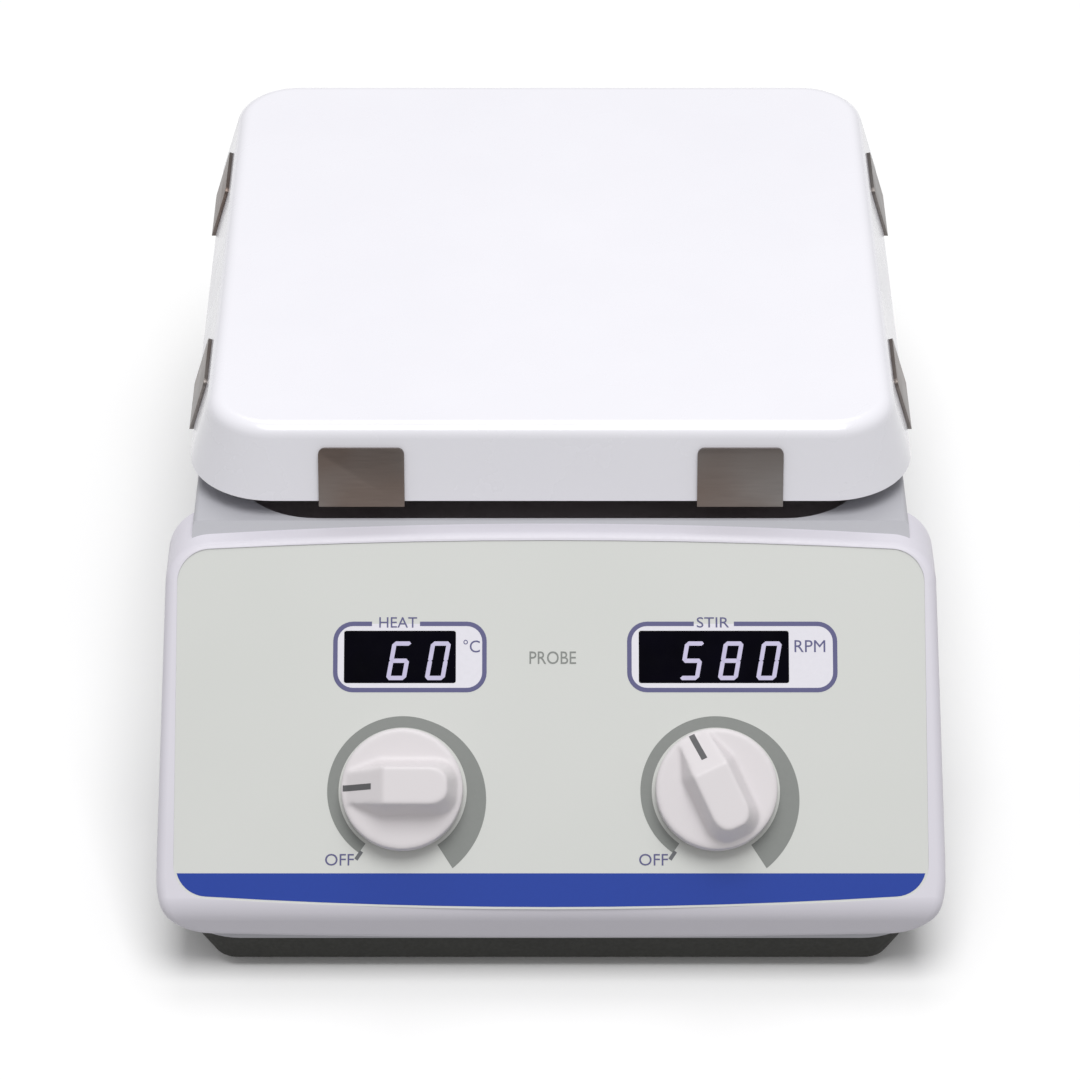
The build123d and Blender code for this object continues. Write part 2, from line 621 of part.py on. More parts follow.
# dark heat-resistant sheet that lines the recess
LINER_T = 0.8
LINER_GAP = 0.5
LINER_STANDOFF_R = 6.5
LINER_SHAFT_R = 12.0
with BuildPart() as deck_liner:
    with BuildSketch(Plane.XY.offset(DECK_FLOOR)):
        with Locations((0, (RECESS_FRONT + RECESS_BACK) / 2)):
            RectangleRounded(
                2 * (RECESS_HALF - LINER_GAP),
                RECESS_BACK - RECESS_FRONT - 2 * LINER_GAP,
                RECESS_CORNER - LINER_GAP,
            )
        with Locations(STANDOFF_SPOTS):
            Circle(LINER_STANDOFF_R, mode=Mode.SUBTRACT)
        with Locations((0, PLATE_Y)):
            Circle(LINER_SHAFT_R, mode=Mode.SUBTRACT)
    extrude(amount=LINER_T)
keep(deck_liner, "deck_liner")

# ---- stirring motor and magnet ------------------------------------------------------
BRACKET_T = 2.0
BRACKET_R = 40.0
CAN_R = 30.0
CAN_WALL = 1.5
CAN_TOP = DECK_UNDER - BRACKET_T
CAN_BOTTOM = 40.0
MOTOR_SHAFT_R = 3.0
BEARING_R = 9.5
BEARING_T = 6.0
ROTOR_R = 18.0
AIR_GAP = 0.6
ROTOR_BOTTOM = 51.0
ROTOR_TOP = 72.0
MAGNET_R = 11.0
MAGNET_REACH = 28.0
MAGNET_T = 5.0
CARRIER_DISC_R = 42.0
CARRIER_DISC_BOTTOM = 90.5
CARRIER_DISC_T = 3.0
HUB_TOP = 98.0
MAGNET_HUB_R = 7.0
MOTOR_SCREW_HEAD_R = 3.0
MOTOR_SCREW_HEAD_T = 2.2
LOWER_BEARING_Z = CAN_BOTTOM + CAN_WALL
UPPER_BEARING_Z = DECK_UNDER - BEARING_T
BEARING_BORE = MOTOR_SHAFT_R + RUNNING
SHAFT_END_GAP = 0.3


def turned_piece(radius, inner_radius, bottom, top, label):
    """A plain ring or disc on the motor's axis."""
    with BuildPart() as ring:
        with BuildSketch(Plane.XY.offset(bottom)):
            with Locations((0, PLATE_Y)):
                Circle(radius)
                if inner_radius:
                    Circle(inner_radius, mode=Mode.SUBTRACT)
        extrude(amount=top - bottom)
    keep(ring, label)


with BuildPart() as motor_bracket:
    with BuildSketch(Plane.XY.offset(CAN_TOP)):
        with Locations((0, PLATE_Y)):
            Circle(BRACKET_R)
            Circle(BEARING_R, mode=Mode.SUBTRACT)
            with PolarLocations(MOTOR_SCREW_PITCH_R, 4, 45):
                Circle(MOTOR_SCREW_HOLE_R, mode=Mode.SUBTRACT)
    extrude(amount=BRACKET_T)
keep(motor_bracket, "motor_bracket")

with BuildPart() as motor_can:
    with BuildSketch(Plane.XY.offset(CAN_BOTTOM)):
        with Locations((0, PLATE_Y)):
            Circle(CAN_R)
    extrude(amount=CAN_TOP - CAN_BOTTOM)
    fillet(edges().group_by(Axis.Z)[0], 2.0)
    with BuildSketch(Plane.XY.offset(CAN_BOTTOM + BEARING_T + CAN_WALL)):
        with Locations((0, PLATE_Y)):
            Circle(CAN_R - CAN_WALL)
    extrude(amount=CAN_TOP, mode=Mode.SUBTRACT)
    with BuildSketch(Plane.XY.offset(CAN_BOTTOM + CAN_WALL)):
        with Locations((0, PLATE_Y)):
            Circle(BEARING_R)
    extrude(amount=BEARING_T, mode=Mode.SUBTRACT)
keep(motor_can, "motor_can")

turned_piece(CAN_R - CAN_WALL, ROTOR_R + AIR_GAP, ROTOR_BOTTOM, ROTOR_TOP, "motor_stator")
turned_piece(ROTOR_R, MOTOR_SHAFT_R, ROTOR_BOTTOM, ROTOR_TOP, "motor_rotor")
turned_piece(BEARING_R, BEARING_BORE, LOWER_BEARING_Z, LOWER_BEARING_Z + BEARING_T, "lower_bearing")
turned_piece(BEARING_R, BEARING_BORE, UPPER_BEARING_Z, UPPER_BEARING_Z + BEARING_T, "upper_bearing")
turned_piece(MOTOR_SHAFT_R, 0, LOWER_BEARING_Z + SHAFT_END_GAP, HUB_TOP, "motor_shaft")

with BuildPart() as motor_screws:
    with BuildSketch(Plane.XY.offset(CAN_TOP - MOTOR_SCREW_HEAD_T)):
        with Locations((0, PLATE_Y)):
            with PolarLocations(MOTOR_SCREW_PITCH_R, 4, 45):
                Circle(MOTOR_SCREW_HEAD_R)
    extrude(amount=MOTOR_SCREW_HEAD_T)
    with BuildSketch(Plane.XY.offset(CAN_TOP)):
        with Locations((0, PLATE_Y)):
            with PolarLocations(MOTOR_SCREW_PITCH_R, 4, 45):
                Circle(MOTOR_SCREW_HOLE_R)
    extrude(amount=DECK_FLOOR - CAN_TOP)
keep(motor_screws, "motor_screws")

with BuildPart() as magnet_carrier:
    with BuildSketch(Plane.XY.offset(CARRIER_DISC_BOTTOM)):
        with Locations((0, PLATE_Y)):
            SlotCenterToCenter(2 * MAGNET_REACH, 2 * (CARRIER_DISC_R - MAGNET_REACH))
            Circle(MOTOR_SHAFT_R, mode=Mode.SUBTRACT)
    extrude(amount=CARRIER_DISC_T)
    with BuildSketch(Plane.XY.offset(CARRIER_DISC_BOTTOM + CARRIER_DISC_T)):
        with Locations((0, PLATE_Y)):
            Circle(MAGNET_HUB_R)
            Circle(MOTOR_SHAFT_R, mode=Mode.SUBTRACT)
    extrude(amount=HUB_TOP - CARRIER_DISC_BOTTOM - CARRIER_DISC_T)
keep(magnet_carrier, "magnet_carrier")

with BuildPart() as drive_magnets:
    with BuildSketch(Plane.XY.offset(CARRIER_DISC_BOTTOM + CARRIER_DISC_T)):
        with Locations([(x, PLATE_Y) for x in (-MAGNET_REACH, MAGNET_REACH)]):
            Circle(MAGNET_R)
    extrude(amount=MAGNET_T)
keep(drive_magnets, "drive_magnets")

# ---- base pan and feet --------------------------------------------------------------
PAN_WIDTH = 199.0
PAN_LENGTH = 299.0
PAN_CORNER = 17.0
PAN_BOTTOM_WIDTH = 181.0
PAN_BOTTOM_LENGTH = 296.0
PAN_BOTTOM_CORNER = 7.0
PAN_FLOOR = 2.5
PAN_POST_R = 6.5
SCREW_HEAD_R = 3.8
SCREW_HEAD_DEPTH = 3.0
SCREW_HEAD_TOP = FOOT_HEIGHT + 3.4
SCREW_GAP = 0.2
FOOT_BOTTOM_R = 8.0
FOOT_TAPER = 14.0
FOOT_STEM_R = 3.0
FOOT_BARB = 1.0         # the retaining head stands out this far round the stem
FOOT_BARB_T = 2.5
FOOT_BARB_TAPER = 20.0
FOOT_SPOTS = square_spots(76.0, -118.0, 126.0)
MAIN_BOARD_Z = 12.0
BOARD_CORNERS = [(x, y) for x in (-66.0, 46.0) for y in (-112.0, -80.0)]

with BuildPart() as base_pan:
    for inset, bottom in ((0, FOOT_HEIGHT), (WALL, FOOT_HEIGHT + PAN_FLOOR)):
        with BuildSketch(Plane.XY.offset(bottom)):
            RectangleRounded(
                PAN_BOTTOM_WIDTH - 2 * inset,
                PAN_BOTTOM_LENGTH - 2 * inset,
                PAN_BOTTOM_CORNER - inset,
            )
        with BuildSketch(Plane.XY.offset(PAN_TOP)):
            RectangleRounded(PAN_WIDTH - 2 * inset, PAN_LENGTH - 2 * inset, PAN_CORNER - inset)
        loft(mode=Mode.SUBTRACT if inset else Mode.ADD)
    with BuildSketch(Plane.XY.offset(FOOT_HEIGHT + PAN_FLOOR)):
        with Locations(BASE_SCREW_SPOTS):
            Circle(PAN_POST_R)
    extrude(amount=PAN_TOP - FOOT_HEIGHT - PAN_FLOOR)
    with BuildSketch(Plane.XY.offset(FOOT_HEIGHT)):
        with Locations(BASE_SCREW_SPOTS):
            Circle(SCREW_HEAD_R + SCREW_GAP)
    extrude(amount=SCREW_HEAD_TOP - FOOT_HEIGHT, mode=Mode.SUBTRACT)
    with BuildSketch(Plane.XY.offset(FOOT_HEIGHT)):
        with Locations(BASE_SCREW_SPOTS):
            Circle(BASE_SCREW_R + SCREW_GAP)
        with Locations(FOOT_SPOTS):
            Circle(FOOT_STEM_R)
    extrude(amount=PAN_TOP, mode=Mode.SUBTRACT)
keep(base_pan, "base_pan")

with BuildPart() as base_screws:
    with BuildSketch(Plane.XY.offset(SCREW_HEAD_TOP - SCREW_HEAD_DEPTH)):
        with Locations(BASE_SCREW_SPOTS):
            Circle(SCREW_HEAD_R)
    extrude(amount=SCREW_HEAD_DEPTH)
    with BuildSketch(Plane.XY.offset(SCREW_HEAD_TOP)):
        with Locations(BASE_SCREW_SPOTS):
            Circle(BASE_SCREW_R)
    extrude(amount=BASE_SCREW_TOP - SCREW_HEAD_TOP)
keep(base_screws, "base_screws")

# push-in feet: pad, stem through the floor, and a retaining head
with BuildPart() as rubber_feet:
    with BuildSketch():
        with Locations(FOOT_SPOTS):
            Circle(FOOT_BOTTOM_R)
    extrude(amount=FOOT_HEIGHT, taper=-FOOT_TAPER)
    with BuildSketch(Plane.XY.offset(FOOT_HEIGHT)):
        with Locations(FOOT_SPOTS):
            Circle(FOOT_STEM_R)
    extrude(amount=PAN_FLOOR)
    with BuildSketch(Plane.XY.offset(FOOT_HEIGHT + PAN_FLOOR)):
        with Locations(FOOT_SPOTS):
            Circle(FOOT_STEM_R + FOOT_BARB)
    extrude(amount=FOOT_BARB_T, taper=FOOT_BARB_TAPER)
keep(rubber_feet, "rubber_feet")

# ---- main board and power parts -----------------------------------------------------
MAIN_BOARD_SPOT = (-10.0, -96.0)
MAIN_BOARD_WIDTH, MAIN_BOARD_LENGTH = 124.0, 44.0
POST_R = 3.0
POST_PIN_R = 1.5
SINK_SPOT = (20.0, -92.0)
SINK_WIDTH, SINK_LENGTH = 50.0, 22.0
SINK_FIN_HEIGHT = 15.0
SINK_BASE = 3.0
SINK_FIN_T = 1.5
SINK_FINS = 6
TRANSFORMER_Y = 84.0
TRANSFORMER_X = -52.0
CORE_WIDTH, CORE_LENGTH, CORE_HEIGHT = 54.0, 24.0, 45.0
CORE_LEG = 9.0
WINDING_WIDTH, WINDING_LENGTH = 34.0, 42.0
WINDING_ROUND = 5.0

with BuildPart() as main_board:
    with BuildSketch(Plane.XY.offset(MAIN_BOARD_Z)):
        with Locations(MAIN_BOARD_SPOT):
            Rectangle(MAIN_BOARD_WIDTH, MAIN_BOARD_LENGTH)
        with Locations(BOARD_CORNERS):
            Circle(POST_PIN_R, mode=Mode.SUBTRACT)
    extrude(amount=BOARD_T)
keep(main_board, "main_board")

with BuildPart() as board_posts:
    with BuildSketch(Plane.XY.offset(FOOT_HEIGHT + PAN_FLOOR)):
        with Locations(BOARD_CORNERS):
            Circle(POST_R)
    extrude(amount=MAIN_BOARD_Z - FOOT_HEIGHT - PAN_FLOOR)
    with BuildSketch(Plane.XY.offset(MAIN_BOARD_Z)):
        with Locations(BOARD_CORNERS):
            Circle(POST_PIN_R)
    extrude(amount=BOARD_T)
keep(board_posts, "board_posts")

with BuildPart() as heat_sink:
    sink_bottom = MAIN_BOARD_Z + BOARD_T
    with BuildSketch(Plane.XY.offset(sink_bottom)):
        with Locations(SINK_SPOT):
            Rectangle(SINK_WIDTH, SINK_LENGTH)
    extrude(amount=SINK_BASE)
    with BuildSketch(Plane.XY.offset(sink_bottom + SINK_BASE)):
        with Locations(SINK_SPOT):
            with GridLocations((SINK_WIDTH - SINK_FIN_T) / (SINK_FINS - 1), 0, SINK_FINS, 1):
                Rectangle(SINK_FIN_T, SINK_LENGTH)
    extrude(amount=SINK_FIN_HEIGHT)
keep(heat_sink, "heat_sink")

with BuildPart() as transformer:
    # laminated core with its winding round the middle leg
    with BuildSketch(Plane.XY.offset(FOOT_HEIGHT + PAN_FLOOR)):
        with Locations((TRANSFORMER_X, TRANSFORMER_Y)):
            Rectangle(CORE_WIDTH, CORE_LENGTH)
    extrude(amount=CORE_HEIGHT)
    with BuildSketch(Plane.XY.offset(FOOT_HEIGHT + PAN_FLOOR + CORE_LEG)):
        with Locations((TRANSFORMER_X, TRANSFORMER_Y)):
            Rectangle(WINDING_WIDTH, WINDING_LENGTH)
    extrude(amount=CORE_HEIGHT - 2 * CORE_LEG)
    across = edges().filter_by(Axis.X).group_by(Axis.Y)
    fillet(across[0] + across[-1], WINDING_ROUND)
keep(transformer, "transformer")

# ---- back panel, power inlet and sockets --------------------------------------------
PANEL_FACE = BACK_PANEL_SEAT + BACK_PANEL_T
BACK_FACE = Plane((0, PANEL_FACE, 0), x_dir=(-1, 0, 0), z_dir=(0, 1, 0))
INLET_X = 24.0
INLET_Z = 48.0
INLET_WIDTH, INLET_HEIGHT = 27.0, 31.0
FLANGE_WIDTH, FLANGE_HEIGHT, FLANGE_T = 50.0, 33.0, 3.0
FLANGE_FACE = PANEL_FACE + FLANGE_T
INLET_DEPTH = 30.0
SOCKET_WIDTH, SOCKET_HEIGHT, SOCKET_DEPTH = 24.0, 16.3, 16.5
SOCKET_Z = INLET_Z - 5.9
DRAWER_WIDTH, DRAWER_HEIGHT, DRAWER_DEPTH = 24.0, 8.2, 24.0
DRAWER_Z = INLET_Z + 9.3
DRAWER_GAP = 0.2
FUSE_R, FUSE_LENGTH = 2.6, 20.0
PIN_SPOTS = [(-7.0, -2.0), (0.0, 2.0), (7.0, -2.0)]
INLET_SCREWS = [(INLET_X + x, INLET_Z) for x in (-20.0, 20.0)]
JACK_X, JACK_Z = -24.0, 48.0
JACK_R, JACK_BARREL_R, JACK_DEPTH = 3.2, 6.0, 14.0
JACK_NUT_AF, JACK_NUT_T = 16.0, 2.0
VENT_X = -54.0
VENTS, VENT_STEP = 5, 6.0
VENT_LENGTH, VENT_WIDTH = 28.0, 3.0
BACK_PANEL_GAP = 0.2
BACK_SCREW_LENGTH = 4.0
INLET_SCREW_R = 1.5
INLET_SCREW_HEAD_R = 2.7
INLET_SCREW_HEAD_T = 1.6
FLANGE_CORNER = 5.0
SOCKET_CHAMFER = 4.5
PIN_WIDTH, PIN_HEIGHT = 2.0, 4.0
PIN_TAIL = 6.0          # solder tabs behind the inlet
PIN_SHORT = 2.0         # the pins end this far inside the mouth
NOTCH_WIDTH, NOTCH_DEPTH, NOTCH_HEIGHT = 8.0, 3.0, 2.5
FUSE_BACK = (5.5, 13.5)  # fuse axes, from the inner end of the drawer


def facing_back(x, z):
    """Sketch place on the back face for a point at X, Z."""
    return (-x, z)


with BuildPart() as rear_panel:
    with BuildSketch(BACK_FACE.offset(-BACK_PANEL_T)):
        with Locations(facing_back(BACK_PANEL_X, BACK_PANEL_Z)):
            Rectangle(BACK_PANEL_WIDTH - 2 * BACK_PANEL_GAP, BACK_PANEL_HEIGHT - 2 * BACK_PANEL_GAP)
        with Locations(facing_back(INLET_X, INLET_Z)):
            Rectangle(INLET_WIDTH, INLET_HEIGHT, mode=Mode.SUBTRACT)
        with Locations(facing_back(JACK_X, JACK_Z)):
            Circle(JACK_BARREL_R, mode=Mode.SUBTRACT)
        with Locations([facing_back(x, z) for x, z in INLET_SCREWS]):
            Circle(INLET_SCREW_R, mode=Mode.SUBTRACT)
        with Locations([facing_back(x, z) for x, z in BACK_SCREW_SPOTS]):
            Circle(BACK_SCREW_R, mode=Mode.SUBTRACT)
        with Locations(facing_back(VENT_X, BACK_PANEL_Z)):
            with GridLocations(VENT_STEP, 0, VENTS, 1):
                SlotOverall(VENT_LENGTH, VENT_WIDTH, rotation=90, mode=Mode.SUBTRACT)
    extrude(amount=BACK_PANEL_T)
keep(rear_panel, "rear_panel")

with BuildPart() as rear_panel_screws:
    spots = [facing_back(x, z) for x, z in BACK_SCREW_SPOTS]
    with BuildSketch(BACK_FACE):
        with Locations(spots):
            Circle(BACK_SCREW_HEAD_R)
    extrude(amount=BACK_SCREW_HEAD_T)
    with BuildSketch(BACK_FACE.offset(-BACK_SCREW_LENGTH)):
        with Locations(spots):
            Circle(BACK_SCREW_R)
    extrude(amount=BACK_SCREW_LENGTH)
keep(rear_panel_screws, "rear_panel_screws")

with BuildPart() as power_inlet:
    with BuildSketch(BACK_FACE):
        with Locations(facing_back(INLET_X, INLET_Z)):
            RectangleRounded(FLANGE_WIDTH, FLANGE_HEIGHT, FLANGE_CORNER)
    extrude(amount=FLANGE_T)
    with BuildSketch(BACK_FACE.offset(-INLET_DEPTH)):
        with Locations(facing_back(INLET_X, INLET_Z)):
            Rectangle(INLET_WIDTH, INLET_HEIGHT)
    extrude(amount=INLET_DEPTH)
    with BuildSketch(BACK_FACE.offset(FLANGE_T - SOCKET_DEPTH)):
        with Locations(facing_back(INLET_X, SOCKET_Z)):
            Rectangle(SOCKET_WIDTH, SOCKET_HEIGHT)
        chamfer(vertices().group_by(Axis.Y)[-1], SOCKET_CHAMFER)
    extrude(amount=2 * SOCKET_DEPTH, mode=Mode.SUBTRACT)
    with BuildSketch(BACK_FACE.offset(FLANGE_T - DRAWER_DEPTH - 1)):
        with Locations(facing_back(INLET_X, DRAWER_Z)):
            Rectangle(DRAWER_WIDTH + 2 * DRAWER_GAP, DRAWER_HEIGHT + 2 * DRAWER_GAP)
    extrude(amount=2 * DRAWER_DEPTH, mode=Mode.SUBTRACT)
    with BuildSketch(BACK_FACE.offset(-INLET_DEPTH)):
        for pin_x, pin_z in PIN_SPOTS:
            with Locations(facing_back(INLET_X + pin_x, SOCKET_Z + pin_z)):
                Rectangle(PIN_WIDTH, PIN_HEIGHT)
    extrude(amount=INLET_DEPTH, mode=Mode.SUBTRACT)
    with BuildSketch(BACK_FACE):
        with Locations([facing_back(x, z) for x, z in INLET_SCREWS]):
            Circle(INLET_SCREW_R)
    extrude(amount=FLANGE_T, mode=Mode.SUBTRACT)
keep(power_inlet, "power_inlet")

with BuildPart() as inlet_pins:
    with BuildSketch(BACK_FACE.offset(-INLET_DEPTH - PIN_TAIL)):
        for pin_x, pin_z in PIN_SPOTS:
            with Locations(facing_back(INLET_X + pin_x, SOCKET_Z + pin_z)):
                Rectangle(PIN_WIDTH, PIN_HEIGHT)
    extrude(amount=INLET_DEPTH + PIN_TAIL + FLANGE_T - PIN_SHORT)
keep(inlet_pins, "inlet_pins")

with BuildPart() as inlet_screws:
    spots = [facing_back(x, z) for x, z in INLET_SCREWS]
    with BuildSketch(BACK_FACE.offset(FLANGE_T)):
        with Locations(spots):
            Circle(INLET_SCREW_HEAD_R)
    extrude(amount=INLET_SCREW_HEAD_T)
    with BuildSketch(BACK_FACE.offset(-BACK_SCREW_LENGTH)):
        with Locations(spots):
            Circle(INLET_SCREW_R)
    extrude(amount=BACK_SCREW_LENGTH + FLANGE_T)
keep(inlet_screws, "inlet_screws")

FUSE_PLACES = [FLANGE_FACE - DRAWER_DEPTH + back for back in FUSE_BACK]
with BuildPart() as fuse_drawer:
    with BuildSketch(BACK_FACE.offset(FLANGE_T - DRAWER_DEPTH)):
        with Locations(facing_back(INLET_X, DRAWER_Z)):
            Rectangle(DRAWER_WIDTH, DRAWER_HEIGHT)
    extrude(amount=DRAWER_DEPTH)
    # two troughs, open at the top
    with BuildSketch(Plane.XY.offset(DRAWER_Z - FUSE_R)):
        with Locations([(INLET_X, y) for y in FUSE_PLACES]):
            Rectangle(FUSE_LENGTH, 2 * FUSE_R)
    extrude(amount=DRAWER_HEIGHT, mode=Mode.SUBTRACT)
    # finger notch in the face
    with BuildSketch(Plane.XY.offset(DRAWER_Z - DRAWER_HEIGHT / 2)):
        with Locations((INLET_X, FLANGE_FACE)):
            Rectangle(NOTCH_WIDTH, NOTCH_DEPTH)
    extrude(amount=NOTCH_HEIGHT, mode=Mode.SUBTRACT)
keep(fuse_drawer, "fuse_drawer")

with BuildPart() as fuses:
    with BuildSketch(Plane.YZ.offset(INLET_X - FUSE_LENGTH / 2)):
        with Locations([(y, DRAWER_Z) for y in FUSE_PLACES]):
            Circle(FUSE_R)
    extrude(amount=FUSE_LENGTH)
keep(fuses, "fuses")

with BuildPart() as probe_socket:
    with BuildSketch(BACK_FACE.offset(-JACK_DEPTH)):
        with Locations(facing_back(JACK_X, JACK_Z)):
            Circle(JACK_BARREL_R)
    extrude(amount=JACK_DEPTH)
    with BuildSketch(BACK_FACE):
        with Locations(facing_back(JACK_X, JACK_Z)):
            RegularPolygon(JACK_NUT_AF / 2, 6, major_radius=False)
    extrude(amount=JACK_NUT_T)
    with BuildSketch(BACK_FACE.offset(JACK_NUT_T - JACK_DEPTH)):
        with Locations(facing_back(JACK_X, JACK_Z)):
            Circle(JACK_R)
    extrude(amount=JACK_DEPTH, mode=Mode.SUBTRACT)
keep(probe_socket, "probe_socket")

# ---- support rod socket -------------------------------------------------------------
ROD_BORE_R = 6.45       # for a 12.7 mm rod
ROD_FLOOR = 2.0
ROD_COLLAR_R = 10.0
ROD_COLLAR_T = 1.5

with BuildPart() as rod_socket:
    with BuildSketch(Plane.XY.offset(ROD_TUBE_BOTTOM)):
        with Locations((ROD_X, ROD_Y)):
            Circle(ROD_TUBE_R)
    extrude(amount=HOUSING_TOP - ROD_TUBE_BOTTOM)
    with BuildSketch(Plane.XY.offset(HOUSING_TOP)):
        with Locations((ROD_X, ROD_Y)):
            Circle(ROD_COLLAR_R)
    extrude(amount=ROD_COLLAR_T)
    with BuildSketch(Plane.XY.offset(ROD_TUBE_BOTTOM + ROD_FLOOR)):
        with Locations((ROD_X, ROD_Y)):
            Circle(ROD_BORE_R)
    extrude(amount=HOUSING_TOP, mode=Mode.SUBTRACT)
    with BuildSketch(Plane((ROD_X, ROD_Y, SET_SCREW_Z), x_dir=(-1, 0, 0), z_dir=(0, 1, 0))):
        Circle(SET_SCREW_R)
    extrude(amount=ROD_TUBE_R + 2, mode=Mode.SUBTRACT)
keep(rod_socket, "rod_socket")

SET_SCREW_TIP = ROD_Y + ROD_BORE_R + CLEARANCE
SET_SCREW_LENGTH = 5.5
SET_SCREW_HEX_AF = 2.5
SET_SCREW_HEX_DEPTH = 2.0
with BuildPart() as rod_set_screw:
    with BuildSketch(Plane((ROD_X, SET_SCREW_TIP, SET_SCREW_Z), x_dir=(-1, 0, 0), z_dir=(0, 1, 0))):
        Circle(SET_SCREW_R)
    extrude(amount=SET_SCREW_LENGTH)
    hex_floor = SET_SCREW_TIP + SET_SCREW_LENGTH - SET_SCREW_HEX_DEPTH
    with BuildSketch(Plane((ROD_X, hex_floor, SET_SCREW_Z), x_dir=(-1, 0, 0), z_dir=(0, 1, 0))):
        RegularPolygon(SET_SCREW_HEX_AF / 2, 6, major_radius=False)
    extrude(amount=SET_SCREW_LENGTH, mode=Mode.SUBTRACT)
keep(rod_set_screw, "rod_set_screw")
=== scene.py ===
import json
from math import cos, degrees, pi, radians, sin, tan

import bmesh
import bpy
from mathutils import Matrix, Vector
from mathutils.bvhtree import BVHTree


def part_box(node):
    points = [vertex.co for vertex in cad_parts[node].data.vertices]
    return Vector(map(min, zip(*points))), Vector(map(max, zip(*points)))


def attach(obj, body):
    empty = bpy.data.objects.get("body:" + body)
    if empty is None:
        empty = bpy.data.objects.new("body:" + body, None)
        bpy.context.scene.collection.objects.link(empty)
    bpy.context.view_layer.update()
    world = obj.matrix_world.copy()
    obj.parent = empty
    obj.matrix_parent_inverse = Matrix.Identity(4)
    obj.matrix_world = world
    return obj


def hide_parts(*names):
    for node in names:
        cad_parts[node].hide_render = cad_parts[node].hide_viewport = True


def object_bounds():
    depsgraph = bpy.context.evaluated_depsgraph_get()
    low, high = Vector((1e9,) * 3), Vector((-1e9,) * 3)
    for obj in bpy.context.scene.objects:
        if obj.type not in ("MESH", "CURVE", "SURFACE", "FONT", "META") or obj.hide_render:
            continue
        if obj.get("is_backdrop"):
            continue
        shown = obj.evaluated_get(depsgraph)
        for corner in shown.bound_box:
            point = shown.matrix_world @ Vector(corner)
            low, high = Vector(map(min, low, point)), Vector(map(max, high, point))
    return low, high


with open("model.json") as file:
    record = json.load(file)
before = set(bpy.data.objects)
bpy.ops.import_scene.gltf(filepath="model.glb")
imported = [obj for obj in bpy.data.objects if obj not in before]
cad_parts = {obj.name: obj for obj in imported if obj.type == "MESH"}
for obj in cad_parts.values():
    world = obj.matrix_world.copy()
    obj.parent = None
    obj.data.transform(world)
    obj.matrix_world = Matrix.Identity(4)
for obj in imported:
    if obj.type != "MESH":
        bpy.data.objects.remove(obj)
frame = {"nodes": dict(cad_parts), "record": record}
cad_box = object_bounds()
nodes = frame["nodes"]
record = frame["record"]
joints = {joint["name"]: joint for joint in record["behaviour"]["joints"]}

# ---- places ---------------------------------------------------------------------------
# New pieces are drawn in millimetres and carried to the frame's metres by their place.
TO_METRES = Matrix.Scale(0.001, 4)
CONTROLS = ("heat", "stir")

PANEL_SLOPE = radians(45)
PANEL_LOW_Y, PANEL_LOW_Z = -0.153, 0.024
LABEL_FACE = -0.3       # printed face of the label, below the rim of the moulding
LENS_FACE = -0.5
INK = 0.05              # thickness of a printed layer
MERGE_MM, MERGE_M = 1e-4, 1e-6           # corners closer than this are one, in each unit
PANEL_TURN = Matrix.Rotation(PANEL_SLOPE, 4, "X") @ TO_METRES
PANEL = Matrix.Translation((0, PANEL_LOW_Y, PANEL_LOW_Z)) @ PANEL_TURN


def on_panel(x, up, out=LABEL_FACE):
    """Place on the sloped panel: X across, Y up the slope, Z out of it."""
    return PANEL @ Matrix.Translation((x, up, out))


# ---- helpers --------------------------------------------------------------------------
def linear(colour):
    """An sRGB hex colour as the linear values that a shader takes."""
    parts = [int(colour[i:i + 2], 16) / 255 for i in (0, 2, 4)]
    return [x / 12.92 if x <= 0.04045 else ((x + 0.055) / 1.055) ** 2.4 for x in parts] + [1.0]


def per(size_mm):
    """Texture scale whose features are this many millimetres across."""
    return 1000.0 / size_mm


def add(tree, kind, inputs=None, **settings):
    """Add a node, set its properties, and set or link its inputs."""
    made = tree.nodes.new(kind)
    for name, value in settings.items():
        setattr(made, name, value)
    for name, value in (inputs or {}).items():
        if isinstance(value, bpy.types.NodeSocket):
            tree.links.new(value, made.inputs[name])
        else:
            made.inputs[name].default_value = value
    return made


def noise(tree, place, size_mm, detail):
    """The socket of a noise texture whose features are this many millimetres across."""
    texture = add(tree, "ShaderNodeTexNoise", {"Vector": place, "Scale": per(size_mm), "Detail": detail})
    return texture.outputs["Fac"]


def blend(tree, factor, colour, other):
    """The socket of a mix of two linear colours."""
    mix = add(tree, "ShaderNodeMix", {"Factor": factor}, data_type="RGBA")
    mix.inputs["A"].default_value = colour
    mix.inputs["B"].default_value = other
    return mix.outputs["Result"]


def spread(tree, value, start, end, low=0.0, high=1.0):
    """The socket of a value carried from one range to another."""
    ends = {"From Min": start, "From Max": end, "To Min": low, "To Max": high}
    return add(tree, "ShaderNodeMapRange", {"Value": value, **ends}).outputs["Result"]


def raised(tree, height, distance, strength=1.0):
    """The socket of a normal for a skin in relief, its full height in metres."""
    inputs = {"Height": height, "Distance": distance, "Strength": strength}
    return add(tree, "ShaderNodeBump", inputs).outputs["Normal"]


def new_material(name):
    """A material with an empty tree, and the socket that gives it Object coordinates."""
    material = bpy.data.materials.new(name)
    material.use_nodes = True
    tree = material.node_tree
    tree.nodes.clear()
    return material, tree, add(tree, "ShaderNodeTexCoord").outputs["Object"]


def close(tree, **inputs):
    """The surface shader and the output."""
    named = {name.replace("_", " "): value for name, value in inputs.items()}
    shader = add(tree, "ShaderNodeBsdfPrincipled", named)
    add(tree, "ShaderNodeOutputMaterial", {"Surface": shader.outputs["BSDF"]})
    return shader


